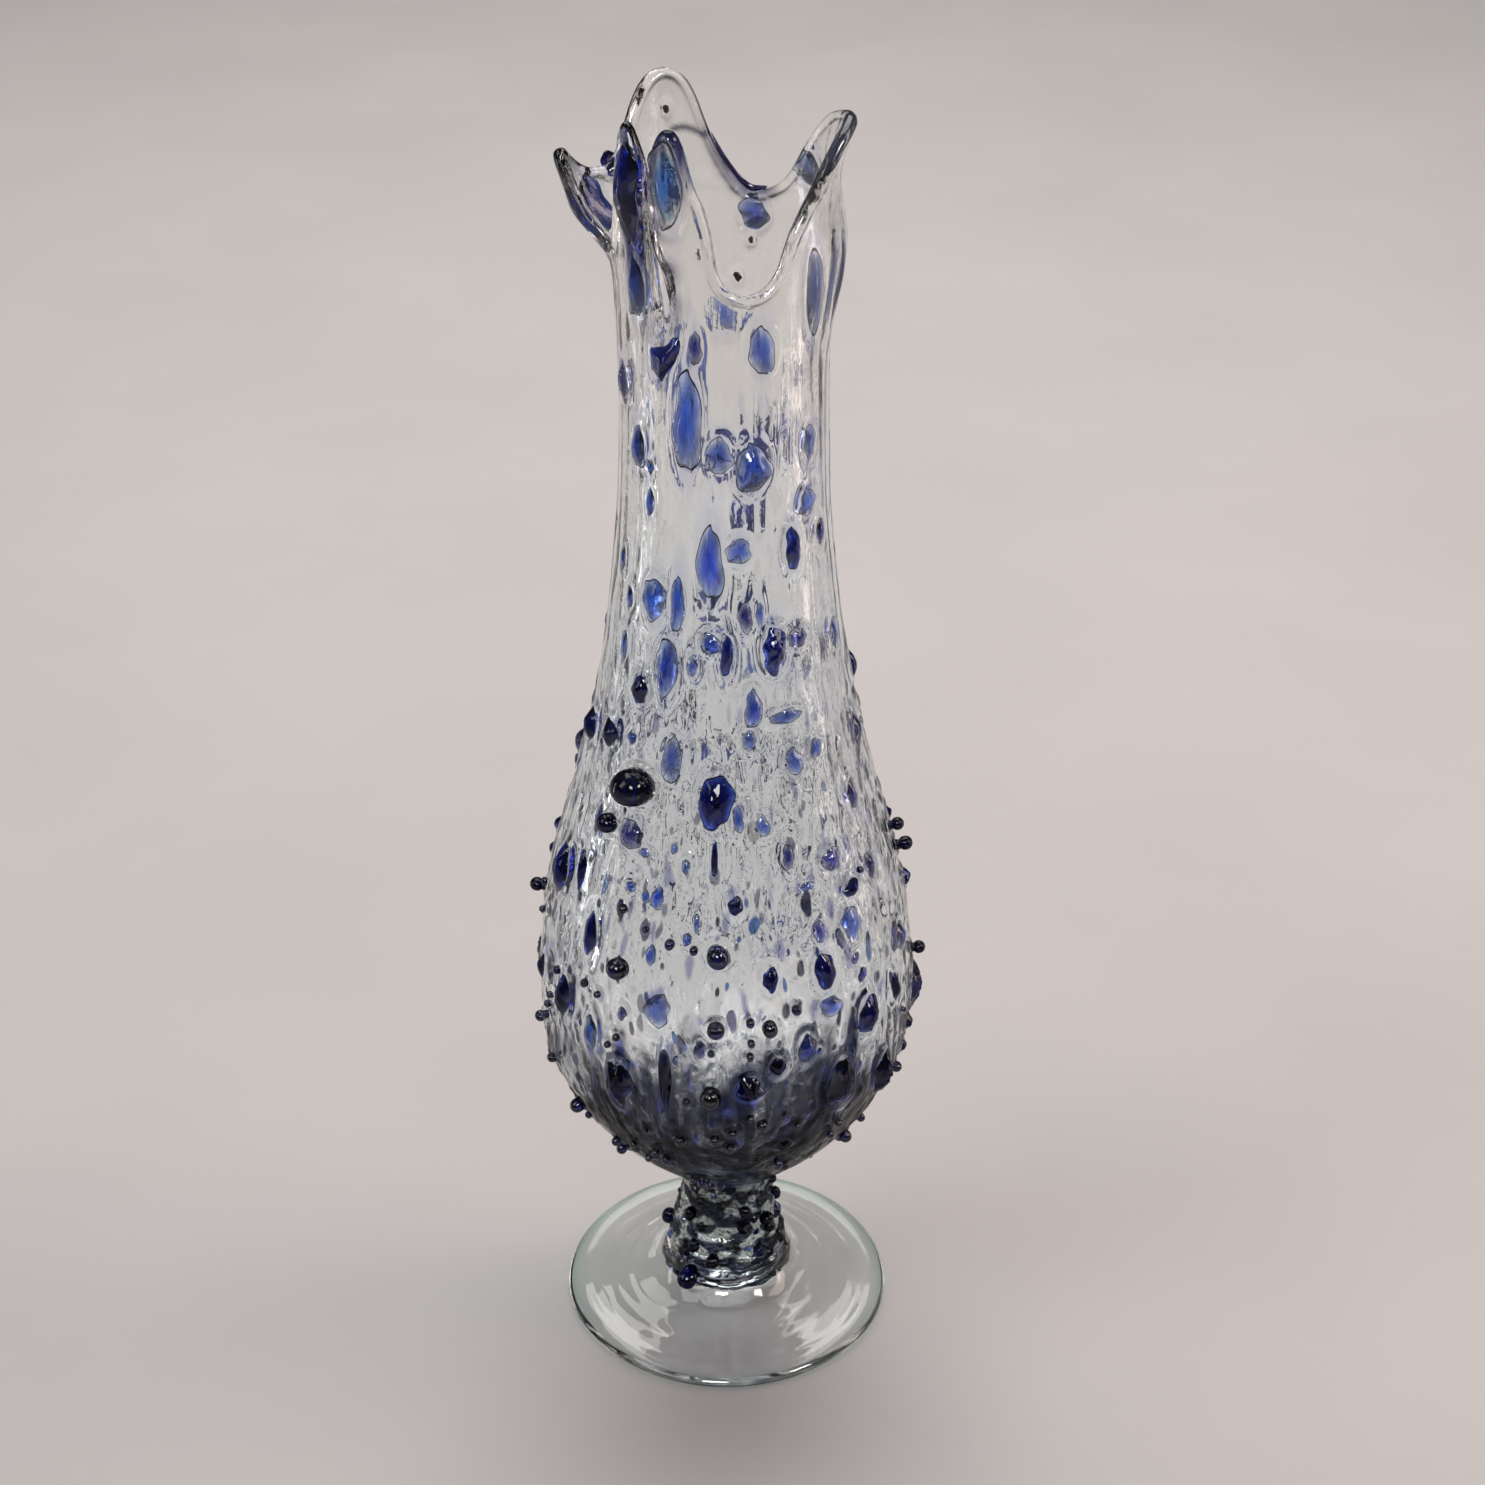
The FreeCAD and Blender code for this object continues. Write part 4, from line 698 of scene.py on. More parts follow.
lip = outside(COLS, z) - outward(COLS, z) * (wall_table(z) / 2)[:, None]
lip_rgb = rim_paint(COLS, np.zeros(NC), sample(tint, COLS, z * K))
in_rows, in_rgb = [], []
for z in np.linspace(324.0, 82.0, n_in):
    p, n = outside(COLS, z), outward(COLS, z)
    d = sample(inner_relief, COLS, np.full(NC, z * K))
    in_rows.append(p - n * (wall_table(z) - d)[:, None])
    in_rgb.append(np.ones((NC, 3)))
floor_pts = [(36.2, 76.6), (31.2, 71.4), (24.5, 66.4), (16.5, 62.4), (8.0, 60.2), (2.5, 59.8)]
floor_rows = []
fr_ = np.linspace(0, 1, len(floor_pts) * 4 + 1)
first = in_rows[-1]
r_start, z_start = float(np.hypot(first[0, 0], first[0, 1])), float(first[0, 2])
fx = [r_start] + [r * K for r, _ in floor_pts]
fz = [z_start] + [zz_ * K for _, zz_ in floor_pts]
ch_ = np.concatenate([[0], np.cumsum(np.hypot(np.diff(fx), np.diff(fz)))])
fr_tab, fz_tab = table(ch_, fx), table(ch_, fz)
th = np.radians(COLS)
for c in np.linspace(0, ch_[-1], 26)[1:]:
    r_, z_ = float(fr_tab(c)), float(fz_tab(c))
    w_ = 0.10 * smooth(r_ / 12.0) * np.sin(3 * th + r_ * 0.35)
    floor_rows.append(np.stack([r_ * np.sin(th), -r_ * np.cos(th), z_ + w_], -1))
    in_rgb.append(np.ones((NC, 3)))
all_rows = rows + rim_out + [lip] + rim_in[::-1] + in_rows[1:] + floor_rows
all_rgb = cols_rgb + rim_rgb + [lip_rgb] + rim_rgb_in[::-1] + in_rgb[1:]
V_ = np.concatenate(all_rows)
C_ = np.concatenate(all_rgb)
n_rows = len(all_rows)
faces = ring_faces(n_rows, NC)
index = [0] * len(faces)
pole = len(V_)
V_ = np.vstack([V_, [[0, 0, 59.8 * K]], [[0, 0, 50.0 * K]]])
C_ = np.vstack([C_, CLEAR[None], CLEAR[None]])
last = (n_rows - 1) * NC
for i in range(NC):
    faces.append((last + i, last + (i + 1) % NC, pole))
    index.append(0)
for i in range(NC):
    faces.append(((i + 1) % NC, i, pole + 1))
    index.append(1)
A_ = np.zeros(len(V_))
n_o = n_out * NC
zo = V_[:n_o, 2]
patch = np.clip(0.95 + 0.35 * sample(noise(24, 20.0, 40.0), np.tile(COLS, n_out), zo), 0.45, 1.0)
A_[:n_o] = patch * (0.12 + 0.88 * smooth((zo - 88.0) / 20.0) * (1 - smooth((zo - 200.0) / 52.0))) * (1 - 0.9 * smooth((zo - 300.0) / 30.0))
body = mesh_from("glass_body", clamp_box(V_), faces, C_, [m_body, m_fused], index, A_)
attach(body, "root")
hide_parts("body_bubble")


# ================================================================ stem and foot
def spline(points, n):
    """Smooth curve through the points, even steps along it."""
    p = np.array(points, float)
    c = np.concatenate([[0], np.cumsum(np.hypot(*np.diff(p, axis=0).T))])
    m = len(p)
    h = np.diff(c)
    A = np.zeros((m, m))
    A[0, 0] = A[-1, -1] = 1
    for i in range(1, m - 1):
        A[i, i - 1], A[i, i], A[i, i + 1] = h[i - 1], 2 * (h[i - 1] + h[i]), h[i]
    out = []
    t = np.linspace(0, c[-1], n)
    k = np.clip(np.searchsorted(c, t, side="right") - 1, 0, m - 2)
    for d in range(2):
        y = p[:, d]
        b = np.zeros(m)
        b[1:-1] = 6 * ((y[2:] - y[1:-1]) / h[1:] - (y[1:-1] - y[:-2]) / h[:-1])
        M = np.linalg.solve(A, b)
        u, v = t - c[k], c[k + 1] - t
        out.append((M[k] * v**3 + M[k + 1] * u**3) / (6 * h[k]) + (y[k] / h[k] - M[k] * h[k] / 6) * v + (y[k + 1] / h[k] - M[k + 1] * h[k] / 6) * u)
    return np.stack(out, -1)


def swirl(seed, n_th, n_z, fa, fz):
    """Periodic smooth noise on a turned piece, rows by columns."""
    gg = np.random.default_rng(seed)
    pad = 32
    white = gg.standard_normal((n_z + pad, n_th))
    ka = np.fft.fftfreq(n_th, 1.0 / n_th)[None, :] / fa
    kz = np.fft.fftfreq(n_z + pad, 1.0 / (n_z + pad))[:, None] / fz
    q = ka**2 + kz**2
    m = np.fft.ifft2(np.fft.fft2(white) * np.exp(-q) * (1 - np.exp(-q * 6))).real[:n_z]
    return m / m.std()


NT = 288
tt = np.linspace(-np.pi, np.pi, NT, endpoint=False)
sz = np.linspace(COLLAR_Z, SEAT_Z, 90)
stem_lumps = 0.5 * swirl(31, NT, 90, 9.0, 9.0) + 0.35 * np.abs(swirl(32, NT, 90, 16.0, 7.0)) + 0.15 * swirl(33, NT, 90, 30.0, 22.0)
stem_fade = (smooth((COLLAR_Z - sz) / 2.5) * smooth((sz - SEAT_Z) / 2.5))[:, None]
stem_relief = np.clip(stem_lumps, -1.6, 2.0) * 0.5 * stem_fade
stem_rows, stem_rgb = [], []
stem_dark = np.clip(swirl(34, NT, 90, 13.0, 8.0) * 0.9 + 0.80, 0, 1)
for j, z in enumerate(sz):
    r = float(stem_radius(z)) + stem_relief[j]
    stem_rows.append(np.stack([r * np.sin(tt), -r * np.cos(tt), np.full(NT, z)], -1))
    # The navy frit is the stem's own colour. The clear glass between it is painted dark grey-green (0.34, 0.42, 0.40):
    # painted shade for the dark surroundings seen through the stem.
    a = (0.97 * stem_dark[j])[:, None]
    stem_rgb.append(np.array([0.34, 0.42, 0.40]) * (1 - a) + np.array([0.008, 0.010, 0.035]) * a)
Vs = np.concatenate(stem_rows)
Cs = np.concatenate(stem_rgb)
fs = ring_faces(len(stem_rows), NT)
fs = [f[::-1] for f in fs]
ix = [0] * len(fs)
Vs = np.vstack([Vs, [[0, 0, COLLAR_Z]], [[0, 0, SEAT_Z]]])
Cs = np.vstack([Cs, CLEAR[None], CLEAR[None]])
top, bot, lastr = len(Vs) - 2, len(Vs) - 1, (len(stem_rows) - 1) * NT
for i in range(NT):
    fs.append((i, (i + 1) % NT, top))
    fs.append((lastr + (i + 1) % NT, lastr + i, bot))
    ix += [1, 1]
stem = mesh_from("glass_stem", Vs, fs, Cs, [m_stem, m_fused], ix)
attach(stem, "root")
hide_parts("stem_knop")

foot_side = [
    (SEAT_R, SEAT_Z), (SEAT_R + 1.5, SEAT_Z - 4.6), (SEAT_R + 4.2, SEAT_Z - 8.2), (SEAT_R + 8.6, SEAT_Z - 11.0), (SEAT_R + 14.5, FOOT_EDGE + 3.4),
    (FOOT_R - 13.0, FOOT_EDGE + 1.7), (FOOT_R - 6.5, FOOT_EDGE + 0.75), (FOOT_R - 2.6, FOOT_EDGE), (FOOT_R - 0.55, FOOT_EDGE - 1.3),
    (FOOT_R, FOOT_EDGE * 0.48), (FOOT_R - 0.75, FOOT_EDGE * 0.17), (FOOT_R - 2.4, 0.0),
]
foot_under = [(REST_IN, 0.0), (REST_IN - 5.5, 1.0), (REST_IN - 13.0, 3.2), (REST_IN - 22.0, 6.0), (REST_IN - 31.0, 8.3), (REST_IN - 40.0, RECESS - 0.2), (0.0, RECESS)]
side_pts = spline(foot_side, 110)
under_pts = spline(foot_under, 70)[:-1]
ft_rows, ft_rgb = [], []
wave = 0.09 * swirl(41, NT, 110, 5.0, 6.0) + 0.04 * swirl(42, NT, 110, 14.0, 12.0)
wave_u = 0.05 * swirl(43, NT, 69, 5.0, 5.0) + 0.03 * swirl(44, NT, 69, 16.0, 10.0)
out_wave = 0.22 * (np.sin(2 * tt + 0.6) + 0.5 * np.sin(5 * tt + 2.0)) - 0.34
FOOT_CLEAR = np.array([0.955, 0.97, 0.965])
FOOT_EDGE_C = np.array([0.82, 0.91, 0.885])
for j, (r, z) in enumerate(side_pts):
    r, z = float(r), max(0.0, float(z))
    e = float(smooth((r - 30.0) / 20.0))
    rr = r + out_wave * e
    lift = wave[j] * float(smooth((r - 20.0) / 5.0)) * float(smooth((52.0 - r) / 5.0)) + 0.05 * math.sin(r * 1.35)
    zj = np.maximum(0.0, np.full(NT, z) + (lift if z > 2.0 else 0.0))
    ft_rows.append(np.stack([rr * np.sin(tt), -rr * np.cos(tt), zj], -1))
    g_ = float(smooth((r - 49.5) / 3.0))
    # Painted shade: the foot's cone is darkened round the seat, darkest next to the stem, patterned with the stem's
    # dark mask.
    seat_shade = (0.95 * stem_dark[-1 - min(j, 60)] * (1 - smooth((r - SEAT_R - 0.4) / 3.8)))[:, None]
    ft_rgb.append((FOOT_CLEAR * (1 - g_) + FOOT_EDGE_C * g_)[None, :] * (1 - seat_shade) + np.array([0.012, 0.015, 0.035]) * seat_shade)
for j, (r, z) in enumerate(under_pts):
    r, z = float(r), max(0.0, float(z))
    scar = 0.5 * math.exp(-(((r - 10.5) / 1.6) ** 2))
    lift = wave_u[j] * float(smooth((46.0 - r) / 6.0)) * float(smooth(r / 4.0)) - scar * (0.7 + 0.3 * np.sin(7 * tt + 1.0))
    zj = np.maximum(0.0, z + lift)
    rr = r + out_wave * float(smooth((r - 30.0) / 20.0))
    ft_rows.append(np.stack([rr * np.sin(tt), -rr * np.cos(tt), zj], -1))
    ft_rgb.append(np.broadcast_to(FOOT_CLEAR, (NT, 3)))
Vf, Cf = np.concatenate(ft_rows), np.concatenate(ft_rgb)
ff = [f[::-1] for f in ring_faces(len(ft_rows), NT)]
ix = [0] * len(ff)
Vf = np.vstack([Vf, [[0, 0, SEAT_Z]], [[0, 0, RECESS]]])
Cf = np.vstack([Cf, CLEAR[None], CLEAR[None]])
top, bot, lastr = len(Vf) - 2, len(Vf) - 1, (len(ft_rows) - 1) * NT
for i in range(NT):
    ff.append((i, (i + 1) % NT, top))
    ix.append(1)
    ff.append((lastr + (i + 1) % NT, lastr + i, bot))
    ix.append(0)
foot = mesh_from("glass_foot", clamp_box(Vf), ff, Cf, [m_foot, m_fused], ix)
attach(foot, "root")
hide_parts("foot_disc")


# ================================================================ chips, drops, beads
def on_wall(az, z):
    p, n = on_wall0(az, z)
    return p + n * sample(relief, wrap(az), z)[..., None], n


def on_stem(az, z):
    p, n = on_stem0(az, z)
    u = ((np.radians(np.asarray(az, float)) + np.pi) / (2 * np.pi) * NT) % NT
    v = np.clip((COLLAR_Z - np.asarray(z, float)) / (COLLAR_Z - SEAT_Z) * 89, 0, 89)
    return p + n * stem_relief[v.astype(int), u.astype(int) % NT][..., None], n


def lump(place, place0, az, z, w, h, kind, lean, gg):
    """Vertices (rings from the crown to the buried underside), colours, for one bit of coloured glass."""
    n_a = 32
    small = min(w, h)
    ang = np.linspace(0, 2 * np.pi, n_a, endpoint=False)
    if kind == "N":
        R, c = 0.56 * small, 0.62 * small
        phi = np.radians(np.linspace(6, 138, 13))
        rho = list(np.sin(phi) * R / (small / 2))
        hei = list(c + R * np.cos(phi))
        rho += [0.76, 0.80, 0.95, 1.15, 1.0, 0.5]
        hei += [0.16 * small, 0.09 * small, 0.03 * small, -0.08, -0.5, -0.6]
        deep = [1.0] * len(rho)
    elif kind in "bB":
        R, c = 0.54 * small, 0.24 * small
        phi = np.radians(np.linspace(6, 122, 12))
        rho = list(np.sin(phi) * R / (small / 2))
        hei = list(c + R * np.cos(phi))
        rho += [0.93, 1.02, 1.06, 0.9, 0.5]
        hei += [0.01 * small, -0.04 * small - 0.05, -0.35, -0.55, -0.6]
        deep = [1.0] * 13 + [0.8, 0.5, 0.5, 0.5]
    else:
        tall = {"c": 0.26, "d": 0.34, "v": 0.2, "p": 0.12, "s": 0.4, "k": 0.45, "r": 0.14, "e": 0.3}[kind] * small
        tall = max(0.7 if kind in "prve" else 0.9, min(tall, 2.6))
        rho = [0.06, 0.2, 0.34, 0.47, 0.59, 0.69, 0.78, 0.86, 0.92, 0.97, 1.03, 0.94, 0.82, 0.66, 0.46, 0.22]
        crown = [(1 - min(1.0, q) ** 2) ** (1.15 if kind in "kds" else 1.7) for q in rho[:10]]
        hei = [q * tall * 1.05 for q in crown] + [-0.1, -0.2, -0.33, -0.45, -0.53, -0.58]
        deep = None
    rho, hei = np.array(rho)[:, None], np.array(hei)[:, None]
    tail = {"c": 0.22, "d": 0.16, "p": 0.1, "s": 0.5, "r": 0.08}.get(kind, 0.04)
    wob = 1.0 + (0.10 if kind in "dk" else 0.045) * np.sin(2 * ang + gg.uniform(0, 6.3)) + (0.09 if kind == "k" else 0.03) * np.sin(3 * ang + gg.uniform(0, 6.3))
    if kind == "k":
        wob = wob + 0.07 * np.sin(5 * ang + gg.uniform(0, 6.3))
    if kind in "cdvpk":
        wob = wob + 0.035 * np.sin(4 * ang + gg.uniform(0, 6.3)) + 0.03 * np.sin(7 * ang + gg.uniform(0, 6.3))
    if kind in "bBN":
        wob = 1.0 + 0.02 * np.sin(2 * ang + gg.uniform(0, 6.3))
    point = {"c": 0.5, "d": 0.4, "v": 0.3, "p": 0.25, "r": 0.1, "k": 0.1, "s": 0.35}.get(kind, 0.0) * gg.uniform(0.2, 1.3)
    flip = 1.0 if gg.random() < 0.7 else -1.0
    if w > 7.5 and kind in "cd":
        point *= 0.3
    ca = np.cos(ang) * np.abs(np.cos(ang)) ** (point * np.where(np.sin(ang) * flip > 0, 1.0, 0.1))
    x = rho * w / 2 * (ca * (1 - tail * flip * np.sin(ang)) * wob)[None, :]
    y = rho * h / 2 * (np.sin(ang) * wob)[None, :]
    # drawn-out bits sag a little to one side
    bend = gg.uniform(-0.10, 0.10) * (kind in "cdpvr")
    x = x + bend * w * (y / (h / 2)) ** 2
    rough = 0.0
    if kind in "kds":
        rough = (0.16 if kind == "k" else 0.07) * (
            np.sin(2.1 * x + gg.uniform(0, 6.3)) * np.sin(1.7 * y + gg.uniform(0, 6.3)) + 0.6 * np.sin(3.4 * x + 1.3 * y + gg.uniform(0, 6.3))
        )
    if kind in "cdkvp":
        x = x + 0.05 * w * np.sin(5.5 * y / h + gg.uniform(0, 6.3)) * rho + 0.035 * w * np.sin(13.0 * y / h + gg.uniform(0, 6.3)) * rho
    hh = np.where(hei > 0, hei * (1 + rough), hei)
    if kind == "s":
        hh = np.where(hh > 0, hh * (1.15 - 0.45 * y / (h / 2)), hh)
    l = math.radians(lean)
    x, y = x * math.cos(l) - y * math.sin(l), x * math.sin(l) + y * math.cos(l)
    p0, n0 = place0(az, z)
    climb = math.sqrt(max(0.04, 1.0 - float(n0[2]) ** 2))
    zz_ = z + y * climb
    if kind == "e":
        zz_ = zz_ + (rim_height(wrap(az + np.degrees(x / math.hypot(p0[0], p0[1])))) - rim_height(wrap(az))) * K
    pz, _ = place0(az, zz_)
    rr = np.maximum(4.0, np.hypot(pz[..., 0], pz[..., 1]))
    azz = az + np.degrees(x / rr)
    if kind in "bBN":
        p, n = place(az, z)
        up = np.array([0, 0, 1.0]) - n * n[2]
        up /= np.linalg.norm(up)
        sd = np.cross(up, n)
        pts = p + sd * x[..., None] + up * y[..., None] + n * hh[..., None]
        lay_, ln = place0(azz, zz_)
        k_ = np.clip(1 - np.abs(hh) / (0.5 * small), 0, 1)[..., None] * (rho[..., None] > 0.9)
        pts = pts * (1 - k_) + (lay_ + ln * hh[..., None]) * k_
    else:
        # the crown follows the broad wall, not its fine relief
        b0, n = place0(azz, zz_)
        lift = float(np.mean((place(az, z)[0] - p0) @ n0))
        pts = b0 + n * (hh + lift)[..., None]
    if deep is None:
        q = np.minimum(1.0, rho * (1.0 + 0.10 * np.sin(2 * ang + gg.uniform(0, 6.3)) + 0.10 * np.sin(3 * ang + gg.uniform(0, 6.3)) + 0.05 * np.sin(6 * ang + gg.uniform(0, 6.3))))
        deep = 1.0 - q ** (4.5 if kind in "dks" else 2.8)
    else:
        deep = np.array(deep)[:, None] * np.ones((1, n_a))
    vv = y / (h / 2)
    return pts, deep, vv, n_a


def colour_of(kind, deep, vv, gg):
    d = deep[..., None]
    v = vv[..., None]
    if kind in "bBN":
        a, b = np.array([0.012, 0.02, 0.16]), NAVY * 0.35
    elif kind in "dk":
        a, b = np.array([0.09, 0.19, 0.84]), NAVY * gg.uniform(0.5, 1.2)
    elif kind == "s":
        a, b = np.array([0.10, 0.14, 0.5]), NAVY
    elif kind == "c":
        a, b = np.array([0.74, 0.84, 0.97]), COBALT * np.array([gg.uniform(0.6, 1.3), gg.uniform(0.65, 1.1), gg.uniform(0.8, 1.05)])
    elif kind == "v":
        a, b = np.array([0.80, 0.80, 0.90]), VIOLET * gg.uniform(0.7, 1.5)
    elif kind == "p":
        a, b = np.array([0.86, 0.91, 0.97]), PALE * gg.uniform(0.7, 1.1)
    elif kind == "e":
        a, b = np.array([0.10, 0.08, 0.24]), np.array([0.02, 0.02, 0.10])
    else:
        a, b = np.array([0.84, 0.88, 0.94]), np.array([0.12, 0.17, 0.36])
    c = a * (1 - d) + b * d
    if kind in "cp":  # the colour thins out towards one end
        fade = np.clip(0.5 + 0.5 * v * gg.choice([1.0, 1.0, -1.0]), 0, 1) ** 2.2 * gg.uniform(0.15, 0.5)
        c = c * (1 - fade) + np.array([0.55, 0.66, 0.9]) * fade
    return np.clip(c, 0, 1)


def build(name, node, items, place, place0, mat, seed):
    gg = np.random.default_rng(seed)
    verts, cols, faces_ = [], [], []
    base_i = 0
    for az, z, w, h, kind, lean in items:
        pts, deep, vv, n_a = lump(place, place0, az, z, w, h, kind, lean, gg)
        n_r = pts.shape[0]
        rgb = colour_of(kind, deep, vv, gg)
        if name == "glass_rim_specks":
            rgb = np.array([0.10, 0.045, 0.03]) * (0.3 + 0.7 * (1 - deep[..., None]))
        if name == "glass_rim_chips" and az < -95.0:
            rgb = rgb * np.array([0.08, 0.13, 0.32])
        if name == "glass_rim_chips" and -60.0 < az < -51.0:
            rgb = rgb * np.array([0.3, 0.35, 0.7])
        if name == "glass_rim_chips" and az > -30.0:
            rgb = np.clip(rgb * np.array([2.3, 2.5, 1.3]), 0, 1)
        if name == "glass_rim_wash" and kind == "v":
            rgb = rgb ** 0.6 * np.array([0.72, 0.85, 1.0])
        verts.append(pts.reshape(-1, 3))
        cols.append(rgb.reshape(-1, 3))
        faces_ += [f[::-1] for f in ring_faces(n_r, n_a, base_i)]
        c_top, c_bot = pts[0].mean(0), pts[-1].mean(0)
        verts.append(np.array([c_top, c_bot]))
        cols.append(np.array([rgb[0].mean(0), rgb[-1].mean(0)]))
        k0 = base_i + n_r * n_a
        lr = base_i + (n_r - 1) * n_a
        for i in range(n_a):
            faces_.append((base_i + i, base_i + (i + 1) % n_a, k0))
            faces_.append((lr + (i + 1) % n_a, lr + i, k0 + 1))
        base_i = k0 + 2
    ob = mesh_from(name, clamp_box(np.concatenate(verts)), faces_, np.concatenate(cols), [mat])
    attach(ob, "root")
    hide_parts(node)
    return ob


LOOK = {
    "proud_nubs": (m_navy, "navy_glass"), "rim_chips": (m_cobalt, "cobalt_glass"), "rim_wash": (m_pale, "pale_glass"),
    "neck_chips_blue": (m_cobalt, "cobalt_glass"), "neck_chips_pale": (m_pale, "pale_glass"), "shoulder_drops": (m_navy, "navy_glass"),
    "shoulder_flecks": (m_violet, "violet_glass"), "belly_chunks": (m_navy, "navy_glass"), "belly_beads": (m_cobalt, "cobalt_glass"),
    "belly_flecks": (m_violet, "violet_glass"), "bowl_beads": (m_violet, "violet_glass"), "rim_specks": (m_brown, "brown_glass"),
}
for k, (name, items) in enumerate(GROUPS):
    mat, slot = LOOK[name]
    build("glass_" + name, name, items, on_wall, on_wall0, mat, 100 + k)
build("glass_stem_frit", "stem_frit", FRIT, on_stem, on_stem0, m_navy, 150)

# big drop at the foot of the stem: a pear shape, slumped outward onto the foot
gg = np.random.default_rng(61)
na, nr = 40, 28
ang = np.linspace(0, 2 * np.pi, na, endpoint=False)
ph = np.linspace(0.06, np.pi - 0.06, nr)[:, None]
sx, sy, sz_ = np.sin(ph) * np.cos(ang), np.cos(ph) * np.ones(na), np.sin(ph) * np.sin(ang)
pear = 1.0 - 0.22 * sy + 0.05 * np.sin(3 * ang + 1.0) * np.sin(ph)
lx, ly, lz = 3.2 * sx * pear, 4.3 * sy, 3.2 * sz_ * pear
til = math.radians(35)
lx, ly, lz = lx, ly * math.cos(til) - lz * math.sin(til), ly * math.sin(til) + lz * math.cos(til)
ca, sa = math.cos(drop_az), math.sin(drop_az)
dx_, dy_ = lx * ca - ly * sa, lx * sa + ly * ca
P = np.stack([dx_ + DROP_AT[0], dy_ + DROP_AT[1], lz + DROP_AT[2]], -1)
blue = np.clip((lz / 4.0 + 0.2), 0, 1)[..., None] ** 1.5
rgb = NAVY * (1 - blue) + np.array([0.05, 0.09, 0.42]) * blue
Vd = np.concatenate([P.reshape(-1, 3), [P[0].mean(0)], [P[-1].mean(0)]])
Cd = np.concatenate([rgb.reshape(-1, 3), [rgb[0].mean(0)], [rgb[-1].mean(0)]])
fd = ring_faces(nr, na)
for i in range(na):
    fd.append(((i + 1) % na, i, nr * na))
    fd.append(((nr - 1) * na + i, (nr - 1) * na + (i + 1) % na, nr * na + 1))
drop = mesh_from("glass_stem_drop", Vd, fd, Cd, [m_navy])
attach(drop, "root")
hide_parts("stem_drop")

# faces turned outward everywhere
import bmesh

for ob in [o for o in bpy.context.scene.objects if o.type == "MESH" and o.name.startswith("glass_")]:
    bm = bmesh.new()
    bm.from_mesh(ob.data)
    if bm.calc_volume(signed=True) < 0:
        bmesh.ops.reverse_faces(bm, faces=bm.faces)
        bm.to_mesh(ob.data)
        print("flipped", ob.name)
    bm.free()

# ================================================================ stage
floor_mat, nt = nodes_of("pale_floor")
out = add(nt, "ShaderNodeOutputMaterial")
bs = add(nt, "ShaderNodeBsdfPrincipled", Roughness=0.65)
co = add(nt, "ShaderNodeTexCoord")
nz = add(nt, "ShaderNodeTexNoise", Scale=6.0, Detail=5.0)
nt.links.new(co.outputs["Object"], nz.inputs["Vector"])
rp = add(nt, "ShaderNodeValToRGB")
rp.color_ramp.elements[0].position, rp.color_ramp.elements[1].position = 0.3, 0.7
rp.color_ramp.elements[0].color = (0.59, 0.555, 0.545, 1)
rp.color_ramp.elements[1].color = (0.63, 0.592, 0.58, 1)
nt.links.new(nz.outputs[0], rp.inputs[0])
nt.links.new(rp.outputs[0], bs.inputs["Base Color"])
nt.links.new(bs.outputs[0], out.inputs["Surface"])
me = bpy.data.meshes.new("stage_floor")
S = 6.0
me.from_pydata([(-S, -S, -0.0003), (S, -S, -0.0003), (S, S, -0.0003), (-S, S, -0.0003)], [], [(0, 1, 2, 3)])
me.materials.append(floor_mat)
stage_floor = bpy.data.objects.new("stage_floor", me)
bpy.context.scene.collection.objects.link(stage_floor)


def lamp(name, loc, target, size, power, colour=(1, 1, 1), size_y=None):
    d = bpy.data.lights.new(name, "AREA")
    d.shape = "RECTANGLE"
    d.size, d.size_y = size, size_y or size
    d.energy = power
    d.color = colour
    o = bpy.data.objects.new(name, d)
    from mathutils import Vector
    o.location = loc
    o.rotation_euler = (Vector(target) - Vector(loc)).to_track_quat("-Z", "Y").to_euler()
    o.visible_camera = False
    bpy.context.scene.collection.objects.link(o)
    return o


lamp("sky_panel", (0.0, 0.95, 1.7), (0.0, 0.75, 0.0), 1.5, 25, (1.0, 0.985, 0.97))
lamp("left_panel", (-1.3, -0.6, 1.3), (0, 0, 0.2), 0.7, 8, (0.95, 0.98, 1.0), 1.1)
lamp("right_panel", (1.15, 0.05, 0.75), (0, 0, 0.22), 0.35, 6, (1.0, 0.80, 0.72), 1.2)
key_window = lamp("key_window", (-0.16, -1.05, 1.0), (0, 0, 0.2), 0.36, 11, (1.0, 0.98, 0.96))
front_glow = lamp("front_glow", (-0.04, -0.38, 0.006), (-0.04, -0.38, 0.5), 0.40, 0.28, (0.93, 0.97, 1.0), 0.36)
right_window = lamp("right_window", (0.95, -0.62, 1.15), (0, 0, 0.22), 0.30, 7, (1.0, 0.96, 0.92))
warm_glow = lamp("warm_glow", (0.17, -0.30, 0.02), (0, 0, 0.15), 0.08, 0.07, (1.0, 0.74, 0.60), 0.16)
right_glint = lamp("right_glint", (0.42, -0.02, 0.16), (0, 0, 0.16), 0.04, 0.16, (1.0, 0.80, 0.70), 0.28)
left_glint = lamp("left_glint", (-0.42, 0.05, 0.16), (0, 0, 0.16), 0.04, 0.16, (0.96, 0.98, 1.0), 0.28)

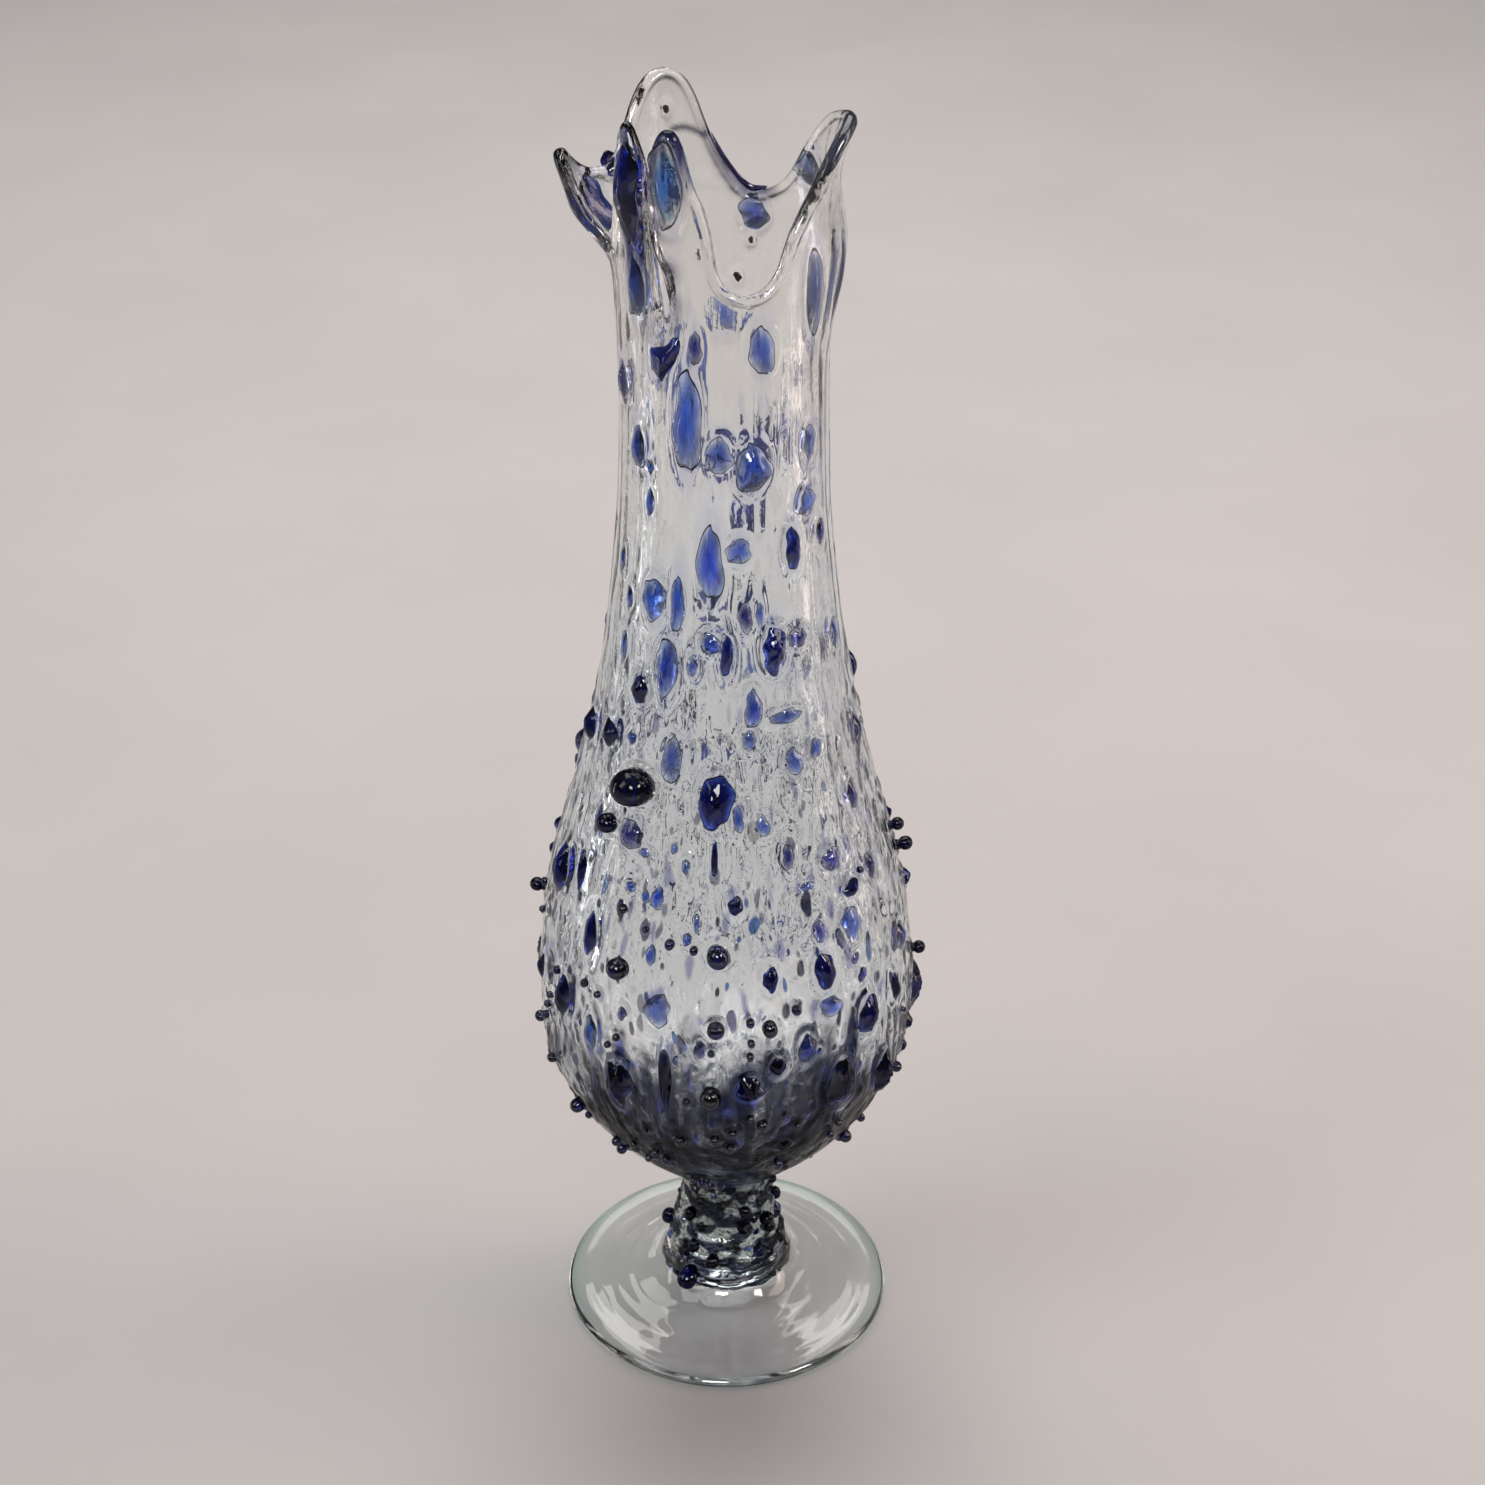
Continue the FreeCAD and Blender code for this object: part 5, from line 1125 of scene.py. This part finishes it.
# These lamps are only there for the glints in the glass: they don't light the floor.
glass_pieces = bpy.data.collections.new("glass_pieces")
for o in bpy.context.scene.objects:
    if o.type == "MESH" and o is not stage_floor:
        glass_pieces.objects.link(o)
for o in (key_window, right_window, warm_glow, front_glow, right_glint, left_glint):
    o.light_linking.receiver_collection = glass_pieces

world = bpy.data.worlds.new("studio")
bpy.context.scene.world = world
world.use_nodes = True
wn = world.node_tree
wn.nodes.clear()
wo = add(wn, "ShaderNodeOutputWorld")
bg = add(wn, "ShaderNodeBackground", Strength=0.24)
tc = add(wn, "ShaderNodeTexCoord")
sx_ = add(wn, "ShaderNodeSeparateXYZ")
wn.links.new(tc.outputs["Generated"], sx_.inputs[0])
wr = add(wn, "ShaderNodeValToRGB")
els = wr.color_ramp.elements
els[0].position, els[0].color = 0.0, (0.10, 0.10, 0.11, 1)
els[1].position, els[1].color = 1.0, (0.95, 0.94, 0.93, 1)
e = els.new(0.5); e.color = (0.36, 0.352, 0.345, 1)
e = els.new(0.62); e.color = (0.42, 0.42, 0.42, 1)
mr = add(wn, "ShaderNodeMapRange")
mr.inputs["From Min"].default_value, mr.inputs["From Max"].default_value = -1.0, 1.0
wn.links.new(sx_.outputs["Z"], mr.inputs["Value"])
wn.links.new(mr.outputs[0], wr.inputs[0])
wn.links.new(wr.outputs[0], bg.inputs["Color"])
wn.links.new(bg.outputs[0], wo.inputs["Surface"])

cam_data = bpy.data.cameras.new("photo_camera")
cam_data.sensor_width = 36.0
cam_data.lens = 2800.0 / 1485.0 * 36.0
cam_data.clip_start, cam_data.clip_end = 0.02, 50.0
cam = bpy.data.objects.new("photo_camera", cam_data)
cam.location = (0.0053, -0.7222, 0.6324)
cam.rotation_euler = (math.radians(90 - 30.3635), 0.0, 0.0)
bpy.context.scene.collection.objects.link(cam)
bpy.context.scene.camera = cam

sc = bpy.context.scene
cy = sc.cycles
cy.max_bounces = 28
cy.transmission_bounces = 26
cy.transparent_max_bounces = 32
cy.glossy_bounces = 8
cy.diffuse_bounces = 3
cy.caustics_reflective = False
cy.caustics_refractive = False
cy.sample_clamp_indirect = 6.0
cy.blur_glossy = 0.2
cy.use_denoising = True
cy.denoiser = "OPENIMAGEDENOISE"
sc.view_settings.view_transform = "Standard"
sc.view_settings.exposure = 0.0
